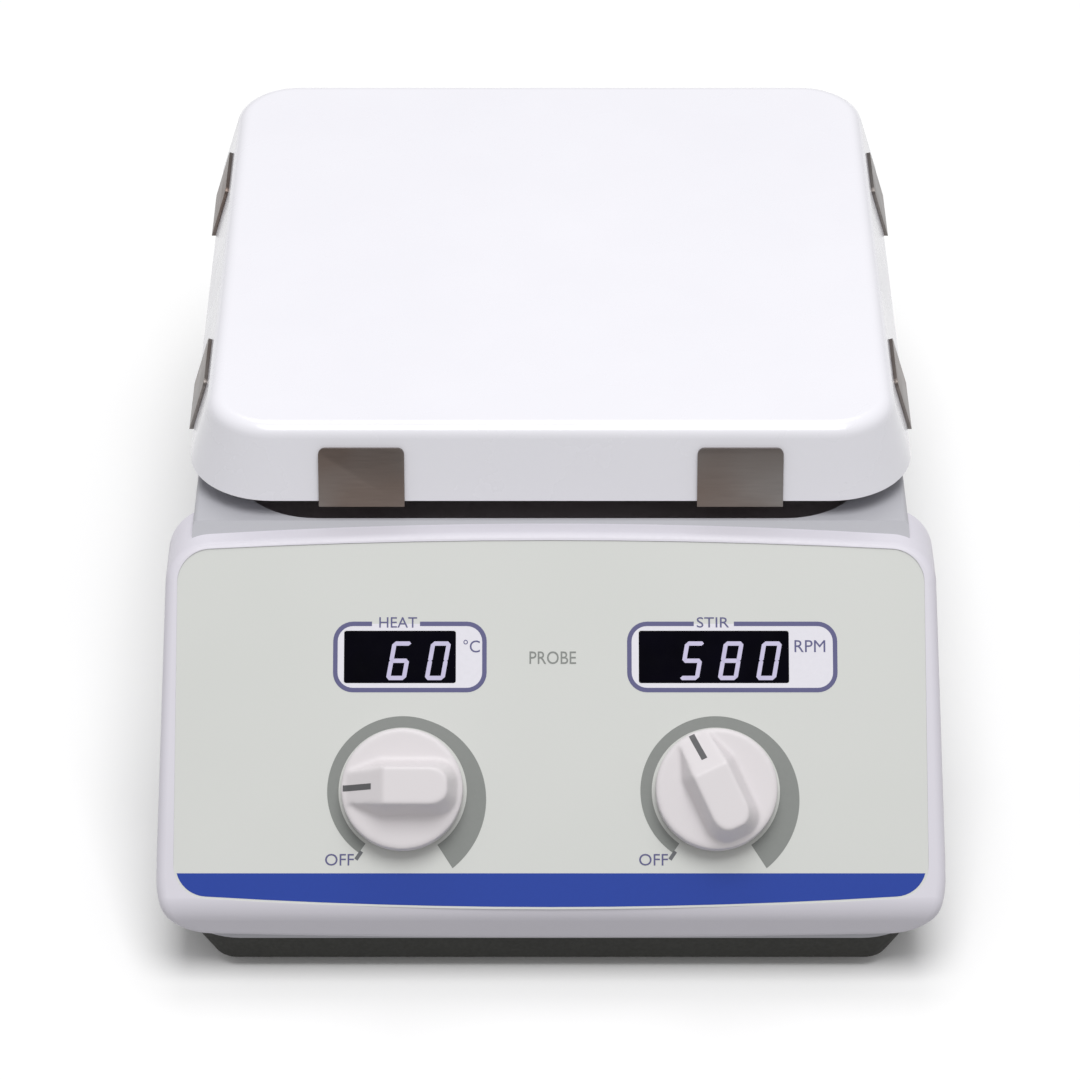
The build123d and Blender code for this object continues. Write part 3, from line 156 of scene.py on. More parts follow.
# ---- materials ------------------------------------------------------------------------
def moulded(name, colour, other, roughness, grain, depth, specular=0.5):
    """ABS or nylon from a textured mould: an even satin skin with a fine pebbled grain.

    The grain is drawn about three times coarser than spark erosion leaves it, so that it shows.
    """
    material, tree, place = new_material(name)
    pebbles = noise(tree, place, grain, 2.0)
    close(
        tree,
        Base_Color=blend(tree, noise(tree, place, 45, 3.0), linear(colour), linear(other)),
        Roughness=spread(tree, pebbles, 0.3, 0.7, roughness - 0.06, roughness + 0.06),
        Specular_IOR_Level=specular,
        Normal=raised(tree, pebbles, depth * 0.001),
    )
    return material


def metal(name, colour, other, roughness, grain, stretch=(1, 1, 1), depth=0.004):
    """Bare or plated metal: long or round grain in its polish, and a slow drift of tint."""
    material, tree, place = new_material(name)
    drift = spread(tree, noise(tree, place, 38, 2.0), 0.35, 0.65)
    stretched = add(tree, "ShaderNodeMapping", {"Vector": place, "Scale": stretch})
    lines = noise(tree, stretched.outputs["Vector"], grain, 3.0)
    close(
        tree,
        Base_Color=blend(tree, drift, linear(colour), linear(other)),
        Metallic=1.0,
        Roughness=spread(tree, lines, 0.25, 0.75, roughness - 0.09, roughness + 0.09),
        Normal=raised(tree, lines, depth * 0.001),
    )
    return material


def glazed_ceramic():
    """Glass-ceramic with a fired white glaze: cool white, glossy, with a faint orange peel."""
    material, tree, place = new_material("fired_white_glaze")
    cloud = noise(tree, place, 70, 4.0)
    peel = noise(tree, place, 7, 1.0)
    scuff = noise(tree, place, 24, 8.0)
    close(
        tree,
        Base_Color=blend(tree, cloud, linear("F4F3F9"), linear("EEEDF4")),
        Roughness=spread(tree, scuff, 0.3, 0.75, 0.2, 0.36),
        IOR=1.52,
        Coat_Weight=0.35,
        Coat_Roughness=0.12,
        Normal=raised(tree, peel, 0.00006, 0.6),
    )
    return material


def label_film():
    """Polyester film printed on its back: a flat pale green-grey under a velvet surface."""
    material, tree, place = new_material("velvet_polyester_film")
    velvet = noise(tree, place, 0.7, 2.0)
    wave = noise(tree, place, 60, 2.0)
    close(
        tree,
        Base_Color=blend(tree, wave, linear("D9DAD7"), linear("D3D5D1")),
        Roughness=0.48,
        Specular_IOR_Level=0.4,
        Normal=raised(tree, velvet, 0.00001, 0.7),
    )
    return material


def screen_ink(name, colour):
    """Screen-printed ink: one flat colour with the faint mottle that the mesh leaves."""
    material, tree, place = new_material(name)
    ink = linear(colour)
    lighter = [part * 1.06 for part in ink[:3]] + [1.0]
    mottled = blend(tree, noise(tree, place, 1.2, 2.0), ink, lighter)
    close(tree, Base_Color=mottled, Roughness=0.5, Specular_IOR_Level=0.35)
    return material


def smoked_acrylic():
    """Cast acrylic dyed nearly black: deep and glossy, with a painted blue glow from the display drifting
    through its colour.
    """
    material, tree, place = new_material("smoked_acrylic")
    cloud = noise(tree, place, 11, 2.0)
    haze = noise(tree, place, 4, 3.0)
    close(
        tree,
        # painted glow: the navy drifting through the near-black stands in for blue light from the display
        Base_Color=blend(tree, cloud, linear("020204"), linear("060412")),
        Roughness=spread(tree, haze, 0.0, 1.0, 0.1, 0.2),
        Specular_IOR_Level=0.05,
    )
    return material


def display_light():
    """Lit display segments: pale lavender, a little uneven along the strokes."""
    material, tree, place = new_material("lit_display_segment")
    flicker = noise(tree, place, 2.5, 1.0)
    close(
        tree,
        Base_Color=linear("3A3648"),
        Emission_Color=blend(tree, flicker, linear("D2CCE6"), linear("BDB7D6")),
        Emission_Strength=0.85,
        Roughness=0.4,
    )
    return material


def printed_circuit():
    """Fibreglass board under green solder mask, with the tracks showing as raised bands."""
    material, tree, place = new_material("green_solder_mask")
    tracks = add(
        tree,
        "ShaderNodeTexBrick",
        {"Vector": place, "Scale": per(9), "Mortar Size": 0.06, "Color1": linear("12502C"),
         "Color2": linear("155A32"), "Mortar": linear("2B7A48")},
    )
    relief = raised(tree, tracks.outputs["Fac"], 0.00004)
    close(tree, Base_Color=tracks.outputs["Color"], Roughness=0.3, Normal=relief)
    return material


def copper_winding():
    """Enamelled copper wire wound side by side: fine ribs about 0.6 mm apart."""
    material, tree, place = new_material("enamelled_copper_winding")
    turns = add(
        tree,
        "ShaderNodeTexWave",
        {"Vector": place, "Scale": per(0.6) / 20, "Distortion": 0.4},
        bands_direction="Z",
    )
    close(
        tree,
        Base_Color=blend(tree, turns.outputs["Fac"], linear("6E3A22"), linear("C07A50")),
        Metallic=0.8,
        Roughness=0.35,
        Normal=raised(tree, turns.outputs["Fac"], 0.0002),
    )
    return material


def fuse_glass():
    """Clear drawn glass tube of a fuse, barely clouded."""
    material, tree, place = new_material("drawn_fuse_glass")
    close(
        tree,
        Base_Color=linear("DDE6E2"),
        Roughness=spread(tree, noise(tree, place, 3, 2.0), 0.0, 1.0, 0.03, 0.12),
        Transmission_Weight=0.85,
        IOR=1.5,
    )
    return material


film = label_film()
blue_ink = screen_ink("blue_screen_ink", "123A9C")
navy_ink = screen_ink("navy_screen_ink", "5D5C85")
grey_ink = screen_ink("grey_screen_ink", "878A87")
dark_ink = screen_ink("dark_grey_screen_ink", "6A6C70")
pale_ink = screen_ink("pale_screen_ink", "E4E2EA")
lit_segment = display_light()
knob_plastic = moulded("satin_white_knob_plastic", "E1DCDE", "DBD6D9", 0.42, 0.6, 0.006)
pointer_paint = screen_ink("grey_pointer_paint", "5E5E60")
heat_tinted = metal("heat_tinted_stainless", "7E7A78", "71655F", 0.38, 0.5, (0.06, 0.06, 1.0))
plated_steel = metal("zinc_plated_steel", "B4B6BA", "A3A5A8", 0.32, 1.5)

finishes = {
    "white_ceramic": glazed_ceramic(),
    "dark_stainless": heat_tinted,
    "steel": plated_steel,
    "silver_grey_housing": moulded("silver_grey_abs", "BDBDC3", "B5B5BB", 0.46, 0.9, 0.012),
    "light_grey_bezel": moulded("light_grey_abs", "DEDBE4", "D8D5DE", 0.4, 0.8, 0.008),
    "panel_label": film,
    "smoked_window": smoked_acrylic(),
    "white_knob": knob_plastic,
    "pointer_line": pointer_paint,
    "dark_base": moulded("charcoal_abs", "2B2B27", "242421", 0.62, 1.1, 0.03, 0.35),
    "black_plastic": moulded("black_nylon", "17171A", "121214", 0.45, 0.8, 0.012, 0.4),
    "circuit_board": printed_circuit(),
    "foot_rubber": moulded("moulded_black_rubber", "1E1E1D", "181818", 0.78, 0.7, 0.02, 0.25),
    "aluminium": metal("mill_finish_aluminium", "C9CACD", "BFC0C4", 0.36, 0.45, (0.05, 1.0, 1.0)),
    "insulation": moulded("pressed_ceramic_fibre", "E2DED2", "D6D0C0", 0.9, 1.4, 0.15, 0.2),
    # painted shade: the liner's grey, darker than the housing, stands in for the shade in the recess
    # under the plate
    "dark_liner": moulded("liner_grey_painted_recess_shade", "A09699", "988E92", 0.6, 2.0, 0.03, 0.3),
    "mica": moulded("pressed_mica_sheet", "A89B82", "93866C", 0.5, 3.0, 0.03),
    "copper": copper_winding(),
    "magnet": metal("nickel_plated_magnet", "B9B8B4", "ACABA8", 0.18, 4.0),
    "brass": metal("nickel_plated_brass", "C9B98E", "BBAA7C", 0.28, 0.8),
    "fuse_glass": fuse_glass(),
}
for part in record["subparts"]:
    mesh = nodes[part["node"]].data
    mesh.materials.clear()
    mesh.materials.append(finishes[part["material_slot"]])


# ---- making pieces --------------------------------------------------------------------
def as_object(bm, name="held"):
    """Hand a drawn shape over to an object in the scene."""
    mesh = bpy.data.meshes.new(name)
    bm.to_mesh(mesh)
    bm.free()
    made = bpy.data.objects.new(name, mesh)
    bpy.context.scene.collection.objects.link(made)
    return made


def drawn(mesh):
    """A mesh as a shape that can be edited."""
    bm = bmesh.new()
    bm.from_mesh(mesh)
    return bm


def baked(holder):
    """The shape of an object with its modifiers applied. The object goes."""
    bpy.context.view_layer.update()
    mesh = bpy.data.meshes.new_from_object(holder.evaluated_get(bpy.context.evaluated_depsgraph_get()))
    bpy.data.objects.remove(holder)
    bm = drawn(mesh)
    bpy.data.meshes.remove(mesh)
    return bm


def extent(verts):
    """The lowest and the highest corner round some vertices."""
    return [Vector([pick(vert.co[i] for vert in verts) for i in range(3)]) for pick in (min, max)]


def make_piece(bm, name, material, body, slot, place=TO_METRES, smooth_angle=35):
    """Carry a drawn shape to its place and make it a piece that rides on a body."""
    bm.transform(place)
    bmesh.ops.recalc_face_normals(bm, faces=bm.faces[:])
    for face in bm.faces:
        face.smooth = True
    for edge in bm.edges:
        if len(edge.link_faces) == 2:
            edge.smooth = edge.calc_face_angle() < radians(smooth_angle)
    piece = as_object(bm, name)
    piece.data.materials.append(material)
    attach(piece, body)
    return piece


def push(bm, faces, height, **settings):
    """Extrude faces along Z."""
    pushed = bmesh.ops.extrude_face_region(bm, geom=faces, **settings)
    verts = [part for part in pushed["geom"] if isinstance(part, bmesh.types.BMVert)]
    bmesh.ops.translate(bm, verts=verts, vec=(0, 0, height))


def thicken(bm, height):
    """Give flat faces a thickness along Z, closed on both sides."""
    push(bm, bm.faces[:], height, use_keep_orig=True)


def round_corners(bm, corners, radius):
    """Round these corners of a flat shape."""
    bmesh.ops.bevel(
        bm, geom=corners, offset=radius, segments=8, profile=0.5,
        affect="VERTICES", offset_type="OFFSET", material=-1,
    )


def rectangle(width, height, corner=0.0):
    """A flat rectangle round the origin, with rounded corners if asked."""
    bm = bmesh.new()
    bmesh.ops.create_grid(bm, x_segments=1, y_segments=1, size=0.5)
    bmesh.ops.scale(bm, vec=(width, height, 1), verts=bm.verts)
    if corner:
        round_corners(bm, bm.verts[:], corner)
    return bm


def drop_faces(bm, test):
    """Delete the faces whose middle passes the test."""
    gone = [face for face in bm.faces if test(face.calc_center_median())]
    bmesh.ops.delete(bm, geom=gone, context="FACES")


def cut_across(bm, axis, values, **settings):
    """Cut every face along lines of constant X (axis 0) or Y (axis 1)."""
    for value in values:
        point = [0, 0, 0]
        normal = [0, 0, 0]
        point[axis] = value
        normal[axis] = 1
        everything = bm.verts[:] + bm.edges[:] + bm.faces[:]
        bmesh.ops.bisect_plane(bm, geom=everything, plane_co=point, plane_no=normal, **settings)


# ---- printing on the label ------------------------------------------------------------
STRIPE_TOP = 10.2
STRIPE_MARGIN = 0.6
KNOB_UP = 32.0
RING_INNER, RING_OUTER = 17.0, 20.0
RING_START, RING_END = 235.0, -57.0      # degrees, from OFF clockwise to the highest setting
RING_STEPS = 120
RING_WIDENS_FROM = 70.0                  # degrees
RING_WIDEST = 24.4
RING_EASE = 1.3         # it widens slowly at first
OFF_ANGLE = 236.0       # degrees
TICK_WIDTH, TICK_LENGTH, TICK_R = 1.0, 2.6, 20.6
LAYER_GAP = 0.01        # between a layer and the one that it lies over
FRAME_UP = 67.9
FRAME_HEIGHT = 19.0
FRAME_LINE = 1.2
FRAME_CORNER = 5.3
GROUND_CORNER = 4.7
WINDOW_HEIGHT = 14.1
# control: left and right of the frame, left and right of the gap in its top line
FRAMES = {"heat": (-58.0, -17.1, -47.7, -34.9), "stir": (20.3, 76.3, 38.1, 48.8)}
# piece: words, ink, middle across and up, width, height
WORDS = {
    "heat_word": ("HEAT", navy_ink, -40.7, 77.2, 10.1, 2.8),
    "stir_word": ("STIR", navy_ink, 43.2, 77.2, 8.6, 2.8),
    "degree_word": ("°C", navy_ink, -21.1, 70.8, 4.4, 3.4),
    "speed_word": ("RPM", navy_ink, 69.0, 70.8, 8.2, 3.2),
    "probe_word": ("PROBE", grey_ink, 0.5, 67.7, 12.4, 3.4),
}
OFF_WORD_ACROSS = -16.6                  # from the middle of the knob
OFF_WORD_FIT = (13.8, 7.6, 3.1)          # up, width, height


def blue_stripe():
    """The foot of the label, from a straight top edge down to its curved lower edge."""
    bm = drawn(nodes["panel_overlay"].data)
    bm.transform(PANEL.inverted())
    bmesh.ops.remove_doubles(bm, verts=bm.verts, dist=0.01)
    bm.normal_update()
    back = [face for face in bm.faces if face.normal.z < 0.9]
    bmesh.ops.delete(bm, geom=back, context="FACES")
    rim = bmesh.ops.inset_region(
        bm, faces=bm.faces[:], thickness=STRIPE_MARGIN, use_boundary=True, use_even_offset=True
    )
    bmesh.ops.delete(bm, geom=rim["faces"], context="FACES")
    cut_across(bm, 1, (STRIPE_TOP,), clear_outer=True)
    thicken(bm, INK)
    make_piece(bm, "printed_blue_stripe", blue_ink, "root", "panel_label", PANEL)


def dial_ring(control, knob_x):
    """Grey ring round a knob that widens towards the highest setting."""
    bm = bmesh.new()
    start = radians(RING_START)
    low = bm.verts.new((RING_INNER * cos(start), RING_INNER * sin(start), 0))
    high = bm.verts.new((RING_OUTER * cos(start), RING_OUTER * sin(start), 0))
    edge = bm.edges.new((low, high))
    bmesh.ops.spin(
        bm,
        geom=[low, high, edge],
        cent=(0, 0, 0),
        axis=(0, 0, 1),
        angle=radians(RING_END - RING_START),
        steps=RING_STEPS,
    )
    widening = RING_WIDENS_FROM - RING_END
    for vert in bm.verts:
        angle = degrees(Vector((1, 0)).angle_signed(vert.co.xy)) * -1
        past = RING_WIDENS_FROM - angle
        if vert.co.length > (RING_INNER + RING_OUTER) / 2 and 0 < past < widening + 1:
            vert.co *= 1 + (RING_WIDEST / RING_OUTER - 1) * (past / widening) ** RING_EASE
    thicken(bm, INK)
    make_piece(bm, f"{control}_dial_ring", grey_ink, "root", "panel_label", on_panel(knob_x, KNOB_UP))
    tick = rectangle(TICK_WIDTH, TICK_LENGTH)
    thicken(tick, INK)
    turn = Matrix.Rotation(radians(OFF_ANGLE - 90), 4, "Z")
    place = on_panel(knob_x, KNOB_UP) @ (turn @ Matrix.Translation((0, TICK_R, LAYER_GAP)))
    make_piece(tick, f"{control}_off_tick", dark_ink, "root", "panel_label", place)


def display_frame(control):
    """Rounded outline round a display, open at its name, over a paler ground."""
    left, right, gap_left, gap_right = FRAMES[control]
    window_low, window_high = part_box(f"{control}_window")
    middle = (left + right) / 2
    place = on_panel(middle, FRAME_UP)
    top = FRAME_HEIGHT / 2

    line = rectangle(right - left, FRAME_HEIGHT, FRAME_CORNER)
    bmesh.ops.inset_region(
        line, faces=line.faces[:], thickness=FRAME_LINE, use_boundary=True, use_even_offset=True
    )
    inside_x, inside_y = (right - left) / 2 - 1.5 * FRAME_LINE, top - 1.5 * FRAME_LINE
    drop_faces(line, lambda at: abs(at.x) < inside_x and abs(at.y) < inside_y)
    gap = [gap_left - middle, gap_right - middle]
    cut_across(line, 0, gap)
    drop_faces(line, lambda at: at.y > top - 2 * FRAME_LINE and gap[0] < at.x < gap[1])
    thicken(line, INK)
    make_piece(line, f"{control}_display_frame", navy_ink, "root", "panel_label", place)

    ground = rectangle(right - left - FRAME_LINE, FRAME_HEIGHT - FRAME_LINE, GROUND_CORNER)
    sides = [1000 * window_low[0] - middle, 1000 * window_high[0] - middle]
    ends = [-WINDOW_HEIGHT / 2, WINDOW_HEIGHT / 2]
    cut_across(ground, 0, sides)
    cut_across(ground, 1, ends)
    drop_faces(ground, lambda at: sides[0] < at.x < sides[1] and ends[0] < at.y < ends[1])
    thicken(ground, INK / 2)
    make_piece(ground, f"{control}_display_ground", pale_ink, "root", "panel_label", place)


def lettering(name, words, ink, x, up, width, height):
    """Printed capitals, fitted to a width and a height round their middle."""
    curve = bpy.data.curves.new(name, "FONT")
    curve.body = words
    curve.resolution_u = 4
    curve.extrude = 0.5
    text = bpy.data.objects.new(name, curve)
    bpy.context.scene.collection.objects.link(text)
    bm = baked(text)
    bmesh.ops.remove_doubles(bm, verts=bm.verts, dist=MERGE_MM)
    low, high = extent(bm.verts)
    bmesh.ops.translate(bm, verts=bm.verts, vec=-(low + high) / 2)
    size = high - low
    bmesh.ops.scale(bm, verts=bm.verts, vec=(width / size.x, height / size.y, INK / size.z))
    make_piece(bm, name, ink, "root", "panel_label", on_panel(x, up, LABEL_FACE + INK))


blue_stripe()
for control in CONTROLS:
    knob_x = 1000 * joints[f"{control}_knob_turn"]["pos_m"][0]
    dial_ring(control, knob_x)
    display_frame(control)
    lettering(f"{control}_off_word", "OFF", navy_ink, knob_x + OFF_WORD_ACROSS, *OFF_WORD_FIT)
for name, (words, ink, *fit) in WORDS.items():
    lettering(name, words, ink, *fit)

# ---- lit digits -----------------------------------------------------------------------
DIGIT_HEIGHT = 10.4
DIGIT_WIDTH = 5.3
STROKE = 1.15
STROKE_OVERLAP = 0.55   # of a stroke's width, that its pointed ends reach into the next one
DIGIT_SLANT = radians(10)
DIGIT_UP = 66.9
# segments by letter: middle across and up, as shares of the width and height, and upright or not
SEGMENTS = {
    "a": (0, 1, False), "g": (0, 0, False), "d": (0, -1, False),
    "f": (-1, 0.5, True), "b": (1, 0.5, True), "e": (-1, -0.5, True), "c": (1, -0.5, True),
}
NUMERALS = {"0": "abcdef", "5": "acdfg", "6": "acdefg", "8": "abcdefg"}
READINGS = {"heat": {-40.4: "6", -30.1: "0"}, "stir": {37.6: "5", 47.9: "8", 58.1: "0"}}


def numeral(shown):
    """The lit strokes of one seven-segment numeral, round the origin, leaning right."""
    across = (DIGIT_WIDTH - STROKE) / 2
    tall = (DIGIT_HEIGHT - STROKE) / 2
    whole = bmesh.new()
    for letter in NUMERALS[shown]:
        share_x, share_y, upright = SEGMENTS[letter]
        length = (tall if upright else 2 * across) + STROKE_OVERLAP * STROKE
        before = set(whole.verts)
        bmesh.ops.create_grid(whole, x_segments=1, y_segments=2, size=0.5)
        made = [vert for vert in whole.verts if vert not in before]
        bmesh.ops.scale(whole, verts=made, vec=(length, STROKE, 1))
        for vert in made:
            if abs(vert.co.y) > STROKE / 4:
                vert.co.x *= (length - STROKE) / length
        if upright:
            bmesh.ops.rotate(whole, verts=made, cent=(0, 0, 0), matrix=Matrix.Rotation(pi / 2, 3, "Z"))
        bmesh.ops.translate(whole, verts=made, vec=(share_x * across, share_y * tall, 0))
    thicken(whole, INK)
    lean = Matrix.Identity(4)
    lean[0][1] = tan(DIGIT_SLANT)
    whole.transform(lean)
    return whole


for control, reading in READINGS.items():
    for place_number, (x, shown) in enumerate(reading.items(), 1):
        make_piece(
            numeral(shown), f"{control}_digit_{place_number}", lit_segment, "root", "smoked_window",
            on_panel(x, DIGIT_UP, LENS_FACE),
        )

# ---- metal parts with eased edges -----------------------------------------------------
EDGE_EASE = 0.00025     # metres
SHARP = radians(40)     # cut edges turn more than this
RECESS_LENGTH, RECESS_WIDTH = 1.3, 0.3   # of the head's radius
RECESS_FLOOR = 0.45     # of the head's height
CRUMB = 0.01            # slivers smaller than this are left by the carving
SCREW_TURN = radians(23)                 # each recess stands a little further round
# node: head radius and height, shank radius and length, in millimetres
SCREWS = {"rear_panel_screws": (1.9, 1.5, 1.0, 4.0), "inlet_screws": (2.7, 1.6, 1.5, 7.0)}
FOLLOWS = {part["node"]: part["material_slot"] for part in record["subparts"]}


def islands(bm):
    """The separate solids of a mesh, each as a list of its vertices."""
    waiting = set(bm.verts)
    while waiting:
        group, front = [], [waiting.pop()]
        while front:
            vert = front.pop()
            group.append(vert)
            for edge in vert.link_edges:
                other = edge.other_vert(vert)
                if other in waiting:
                    waiting.remove(other)
                    front.append(other)
        yield group


def eased(node):
    """A sheet part again, with the burr taken off its cut edges."""
    bm = drawn(nodes[node].data)
    bmesh.ops.remove_doubles(bm, verts=bm.verts, dist=MERGE_M)
    bmesh.ops.dissolve_limit(bm, angle_limit=radians(1), verts=bm.verts, edges=bm.edges)
    cut = [edge for edge in bm.edges if edge.calc_face_angle(0) > SHARP]
    bmesh.ops.bevel(
        bm, geom=cut, offset=EDGE_EASE, segments=3, profile=0.5,
        affect="EDGES", clamp_overlap=True, material=-1,
    )
    slot = FOLLOWS[node]
    piece = make_piece(bm, f"{node}_deburred", finishes[slot], "root", slot, Matrix.Identity(4))
    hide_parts(node)


def cross_screw(head_r, head_t, shank_r, shank_length):
    """A domed screw up Z, its head standing on Z = 0, with a cross recess."""
    rings = [(0.0, -shank_length), (shank_r, -shank_length), (shank_r, 0.0), (head_r, 0.0)]
    for step in range(9):
        lift = radians(90 * step / 8)
        rings.append((head_r * cos(lift) ** 0.6 if step < 8 else 0.0, head_t * (0.35 + 0.65 * sin(lift))))
    bm = bmesh.new()
    path = [bm.verts.new((x, 0, z)) for x, z in rings]
    edges = [bm.edges.new(pair) for pair in zip(path, path[1:])]
    bmesh.ops.spin(
        bm, geom=path + edges, cent=(0, 0, 0), axis=(0, 0, 1), angle=2 * pi, steps=40, use_merge=True
    )
    bmesh.ops.remove_doubles(bm, verts=bm.verts, dist=MERGE_MM)
    bmesh.ops.recalc_face_normals(bm, faces=bm.faces[:])
    holder = as_object(bm)
    slots = []
    for turned in (0, pi / 2):
        bar = rectangle(RECESS_LENGTH * head_r, RECESS_WIDTH * head_r)
        thicken(bar, head_t)
        lift = Matrix.Translation((0, 0, RECESS_FLOOR * head_t))
        bar.transform(Matrix.Rotation(turned, 4, "Z") @ lift)
        bmesh.ops.recalc_face_normals(bar, faces=bar.faces[:])
        slots.append(as_object(bar))
        carve = holder.modifiers.new("carve", "BOOLEAN")
        carve.object = slots[-1]
        carve.solver = "EXACT"
    made = baked(holder)
    bmesh.ops.remove_doubles(made, verts=made.verts, dist=CRUMB)
    bmesh.ops.dissolve_degenerate(made, edges=made.edges, dist=CRUMB)
    for slot in slots:
        bpy.data.objects.remove(slot)
    return made


def back_screws(node, head_r, head_t, shank_r, shank_length):
    """Cross-recess screws in place of a node's plain ones, along +Y at the back."""
    cad = drawn(nodes[node].data)
    bmesh.ops.remove_doubles(cad, verts=cad.verts, dist=MERGE_M)
    one = cross_screw(head_r, head_t, shank_r, shank_length)
    single = bpy.data.meshes.new("screw")
    one.to_mesh(single)
    one.free()
    whole = bmesh.new()
    in_order = sorted(islands(cad), key=lambda group: [round(1000 * at) for at in extent(group)[0]])
    for number, group in enumerate(in_order):
        low, high = extent(group)
        seat = Vector(((low[0] + high[0]) / 2, high[1] - head_t * 0.001, (low[2] + high[2]) / 2))
        turned = Matrix.Rotation(radians(-90), 4, "X") @ Matrix.Rotation(SCREW_TURN * number, 4, "Z")
        before = len(whole.verts)
        whole.from_mesh(single)
        whole.verts.ensure_lookup_table()
        bmesh.ops.transform(
            whole, matrix=Matrix.Translation(seat) @ turned @ TO_METRES, verts=whole.verts[before:]
        )
    cad.free()
    bpy.data.meshes.remove(single)
    slot = FOLLOWS[node]
    piece = make_piece(whole, f"{node}_crossed", finishes[slot], "root", slot, Matrix.Identity(4))
    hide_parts(node)


for side in ("front", "back", "left", "right"):
    eased(f"{side}_clips")
for node, sizes in SCREWS.items():
    back_screws(node, *sizes)

# ---- knobs ----------------------------------------------------------------------------
KNOB_R = 16.1
KNOB_FOOT = 0.3
DISC_TOP = 6.3
KNOB_TOP = 14.0
KNOB_WALL = 2.5
WELL_TOP = 4.2
GRIP_REACH = 15.2
GRIP_WIDTH = 16.0
GRIP_LEAN = radians(22)
GRIP_END_ROUND = 6.0
GRIP_SINK = 1.5
RAMP_START, RAMP_END = 15.0, 6.0
RAMP_END_WIDTH = 8.4
RAMP_SINK = 0.2         # the ramp runs out just under the disc's face
SKIN_VOXEL, SKIN_ROUNDS = 0.4, 16
POINTER_IN, POINTER_OUT = 8.0, 15.6
POINTER_WIDTH = 1.6
POINTER_ANGLE = {"heat": 180.0, "stir": 115.0}


def knob_shape():
    """A turned disc with a tapered grip across it that slopes down to the pointer's end (+X)."""
    bm = bmesh.new()
    bmesh.ops.create_cone(
        bm, cap_ends=True, segments=96, radius1=KNOB_R, radius2=KNOB_R, depth=DISC_TOP - KNOB_FOOT
    )
    bmesh.ops.translate(bm, verts=bm.verts, vec=(0, 0, (DISC_TOP + KNOB_FOOT) / 2))
    under = [face for face in bm.faces if face.normal.z < -0.9]
    bmesh.ops.inset_region(bm, faces=under, thickness=KNOB_WALL)
    push(bm, under, WELL_TOP - KNOB_FOOT)

    # the grip starts inside the disc and leans in; its pointer end slopes down between level edges
    foot_z = DISC_TOP - GRIP_SINK
    grip = rectangle(2 * GRIP_REACH, GRIP_WIDTH)
    far = [vert for vert in grip.verts if vert.co.x < 0]
    round_corners(grip, far, GRIP_END_ROUND)
    cut_across(grip, 0, (RAMP_END,))
    bmesh.ops.translate(grip, verts=grip.verts, vec=(0, 0, foot_z))
    thicken(grip, KNOB_TOP - foot_z)
    lean_in = (KNOB_TOP - DISC_TOP) * tan(GRIP_LEAN)
    top = [vert for vert in grip.verts if vert.co.z > DISC_TOP]
    bmesh.ops.scale(
        grip, verts=top, vec=(1 - lean_in / GRIP_REACH, 1 - 2 * lean_in / GRIP_WIDTH, 1)
    )
    for vert in grip.verts:
        if vert.co.x > RAMP_END + 1:
            vert.co.y *= RAMP_END_WIDTH / abs(2 * vert.co.y)
            if vert.co.z > DISC_TOP:
                vert.co.x = RAMP_START
                vert.co.z = DISC_TOP - RAMP_SINK
    bmesh.ops.recalc_face_normals(grip, faces=grip.faces[:])
    part = bpy.data.meshes.new("grip")
    grip.to_mesh(part)
    grip.free()
    bm.from_mesh(part)
    bpy.data.meshes.remove(part)
    bmesh.ops.recalc_face_normals(bm, faces=bm.faces[:])
    return bm


def softened(bm, voxel, rounds):
    """One skin round everything, its corners eased as a moulding's are."""
    holder = as_object(bm)
    skin = holder.modifiers.new("skin", "REMESH")
    skin.mode = "VOXEL"
    skin.voxel_size = voxel
    ease = holder.modifiers.new("ease", "SMOOTH")
    ease.factor = 0.5
    ease.iterations = rounds
    return baked(holder)


for control in CONTROLS:
    knob_x = 1000 * joints[f"{control}_knob_turn"]["pos_m"][0]
    turn = Matrix.Rotation(radians(POINTER_ANGLE[control]), 4, "Z")
    place = on_panel(knob_x, KNOB_UP, 0) @ turn
    shape = softened(knob_shape(), SKIN_VOXEL, SKIN_ROUNDS)
    surface = BVHTree.FromBMesh(shape)
    piece = make_piece(
        shape, f"{control}_knob_moulding", knob_plastic, f"{control}_control", "white_knob", place, 180
    )
    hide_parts(f"{control}_knob")

    # the painted line lies on the slope of the grip
    line = bmesh.new()
    bmesh.ops.create_grid(line, x_segments=30, y_segments=4, size=0.5)
    bmesh.ops.scale(line, verts=line.verts, vec=(POINTER_OUT - POINTER_IN, POINTER_WIDTH, 1))
    bmesh.ops.translate(line, verts=line.verts, vec=((POINTER_OUT + POINTER_IN) / 2, 0, 0))
    for vert in line.verts:
        hit = surface.ray_cast(Vector((vert.co.x, vert.co.y, 2 * KNOB_TOP)), Vector((0, 0, -1)))[0]
        vert.co.z = hit.z + LAYER_GAP
    thicken(line, INK)
    piece = make_piece(
        line, f"{control}_pointer_line", pointer_paint, f"{control}_control", "pointer_line", place
    )
    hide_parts(f"{control}_pointer")

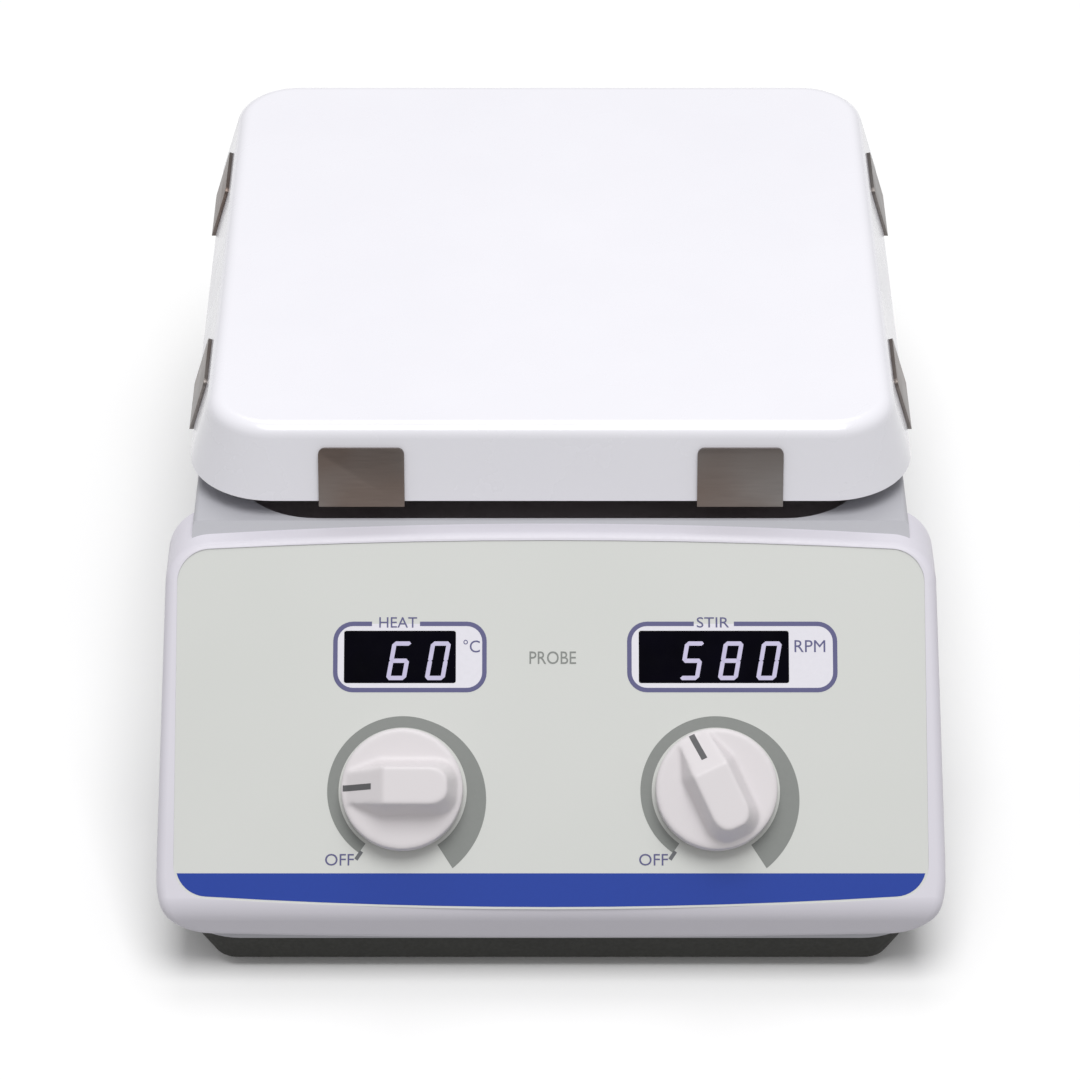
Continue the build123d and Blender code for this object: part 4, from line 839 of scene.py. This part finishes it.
# ---- studio ---------------------------------------------------------------------------
FLOOR_SIZE = 8.0
LIGHT_AIM = (0, 0, 0.05)
SURROUND = 0.43         # strength of the white world
LENS, SENSOR = 146.1, 36.0
CAMERA_SPOT = (-0.0029, -1.037, 0.775)
CAMERA_TILT = radians(54.5)              # up from straight down


def studio_floor():
    """A pale seamless sweep under the unit."""
    bm = rectangle(FLOOR_SIZE, FLOOR_SIZE)
    floor = as_object(bm, "floor")
    material, tree, place = new_material("white_paper_sweep")
    close(
        tree,
        Base_Color=blend(tree, noise(tree, place, 300, 2.0), linear("FBFBFB"), linear("F8F8F8")),
        Roughness=0.9,
        Specular_IOR_Level=0.1,
        Emission_Color=linear("FFFFFF"),
        Emission_Strength=0.04,
    )
    floor.data.materials.append(material)
    floor.visible_diffuse = False
    floor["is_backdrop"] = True


def soft_light(name, power, size, spot):
    """A square softbox that faces the unit."""
    lamp = bpy.data.lights.new(name, "AREA")
    lamp.energy = power
    lamp.size = size
    holder = bpy.data.objects.new(name, lamp)
    holder.location = spot
    holder.rotation_euler = (Vector(LIGHT_AIM) - Vector(spot)).to_track_quat("-Z", "Y").to_euler()
    bpy.context.scene.collection.objects.link(holder)


studio_floor()
soft_light("overhead_softbox", 57.0, 1.8, (0.12, -0.8, 3.0))
soft_light("rear_softbox", 9.0, 1.2, (0.0, 1.1, 2.2))

world = bpy.data.worlds.new("studio")
world.use_nodes = True
background = world.node_tree.nodes["Background"]
background.inputs["Color"].default_value = (1.0, 1.0, 1.0, 1.0)
background.inputs["Strength"].default_value = SURROUND
bpy.context.scene.world = world
bpy.context.scene.view_settings.view_transform = "Standard"

camera = bpy.data.cameras.new("camera")
camera.lens = LENS
camera.sensor_width = SENSOR
camera_holder = bpy.data.objects.new("camera", camera)
camera_holder.location = CAMERA_SPOT
camera_holder.rotation_euler = (CAMERA_TILT, 0, 0)
bpy.context.scene.collection.objects.link(camera_holder)
bpy.context.scene.camera = camera_holder

sizes = {"cad": [list(map(float, side)) for side in cad_box]}
sizes["visual"] = [list(map(float, side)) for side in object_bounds()]
